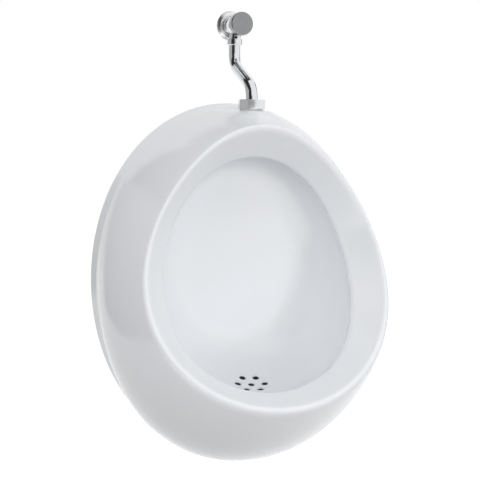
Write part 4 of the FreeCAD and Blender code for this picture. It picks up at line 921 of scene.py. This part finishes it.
def stage_plane(name, size_x, size_y, material):
    bm = bmesh.new()
    bmesh.ops.create_grid(bm, x_segments=1, y_segments=1, size=0.5)
    bmesh.ops.scale(bm, verts=bm.verts, vec=(size_x, size_y, 1))
    mesh = bpy.data.meshes.new(name)
    bm.to_mesh(mesh)
    bm.free()
    mesh.materials.append(material)
    plane = bpy.data.objects.new(name, mesh)
    bpy.context.scene.collection.objects.link(plane)
    return plane


def pale_floor():
    """White for the camera and in reflections; it still takes the object's shadow."""
    material, nodes, links, shader = material_base("pale_floor", (0.9, 0.9, 0.9), 0.8)
    matt = nodes.new("ShaderNodeBsdfDiffuse")
    matt.inputs["Color"].default_value = (0.3, 0.3, 0.3, 1)
    bright = nodes.new("ShaderNodeEmission")
    bright.inputs["Strength"].default_value = FLOOR_GLOW
    both = nodes.new("ShaderNodeAddShader")
    links.new(shader.outputs[0], both.inputs[0])
    links.new(bright.outputs[0], both.inputs[1])
    seen = nodes.new("ShaderNodeMixShader")
    links.new(rays_that_see_white(nodes, links), seen.inputs["Fac"])
    links.new(matt.outputs[0], seen.inputs[1])
    links.new(both.outputs[0], seen.inputs[2])
    links.new(seen.outputs[0], nodes["Material Output"].inputs["Surface"])
    return material


def flag_cloth(name, tone):
    """Cloth that only reflections see; it takes no light from the object."""
    material = bpy.data.materials.new(name)
    material.use_nodes = True
    nodes, links = material.node_tree.nodes, material.node_tree.links
    cloth = nodes.new("ShaderNodeEmission")
    cloth.inputs["Color"].default_value = (tone, tone, tone, 1)
    clear = nodes.new("ShaderNodeBsdfTransparent")
    path = nodes.new("ShaderNodeLightPath")
    seen = nodes.new("ShaderNodeMixShader")
    links.new(path.outputs["Is Glossy Ray"], seen.inputs["Fac"])
    links.new(clear.outputs[0], seen.inputs[1])
    links.new(cloth.outputs[0], seen.inputs[2])
    links.new(seen.outputs[0], nodes["Material Output"].inputs["Surface"])
    return material


def add_flag(name, tone, middle, size, turn=None):
    """A cloth out of the picture, for the stripes in the chrome; without a turn it lies flat."""
    card = stage_plane(name, *size, flag_cloth(name + "_cloth", tone))
    if turn is not None:
        card.data.transform(Matrix.Rotation(math.radians(turn), 4, "Z")
                            @ Matrix.Rotation(math.pi / 2, 4, "Y"))
    card.data.transform(Matrix.Translation(middle))


def round_the_valve(bearing, distance, height):
    """A place at a bearing from the front, positive to the right."""
    angle = math.radians(bearing)
    return Vector((distance * math.sin(angle), -distance * math.cos(angle), height))


def studio():
    studio_world()
    floor = stage_plane("floor", 12, 12, pale_floor())
    floor.data.transform(Matrix.Translation((0, 0, FLOOR_HEIGHT)))
    for flag in FLAGS:
        add_flag(*flag)
    for name, bearing, distance, height, width, depth, power in LAMPS:
        softbox(name, round_the_valve(bearing, distance, height), (0, -0.1, 0.2), width, depth,
                power)


dress_nodes()
make_ceramic(MATERIALS["white_glaze"])
make_ribs(MATERIALS["white_glaze"])
make_valve(MATERIALS["bright_chrome"], MATERIALS["turned_chrome"])
make_spring(MATERIALS["spring_steel"])
make_flush_pipe(MATERIALS["bright_chrome"])
refine("union_nut", MATERIALS["bright_chrome"], bevel=0.6 * MM)
camera()
studio()
bpy.context.scene.view_settings.view_transform = "Standard"
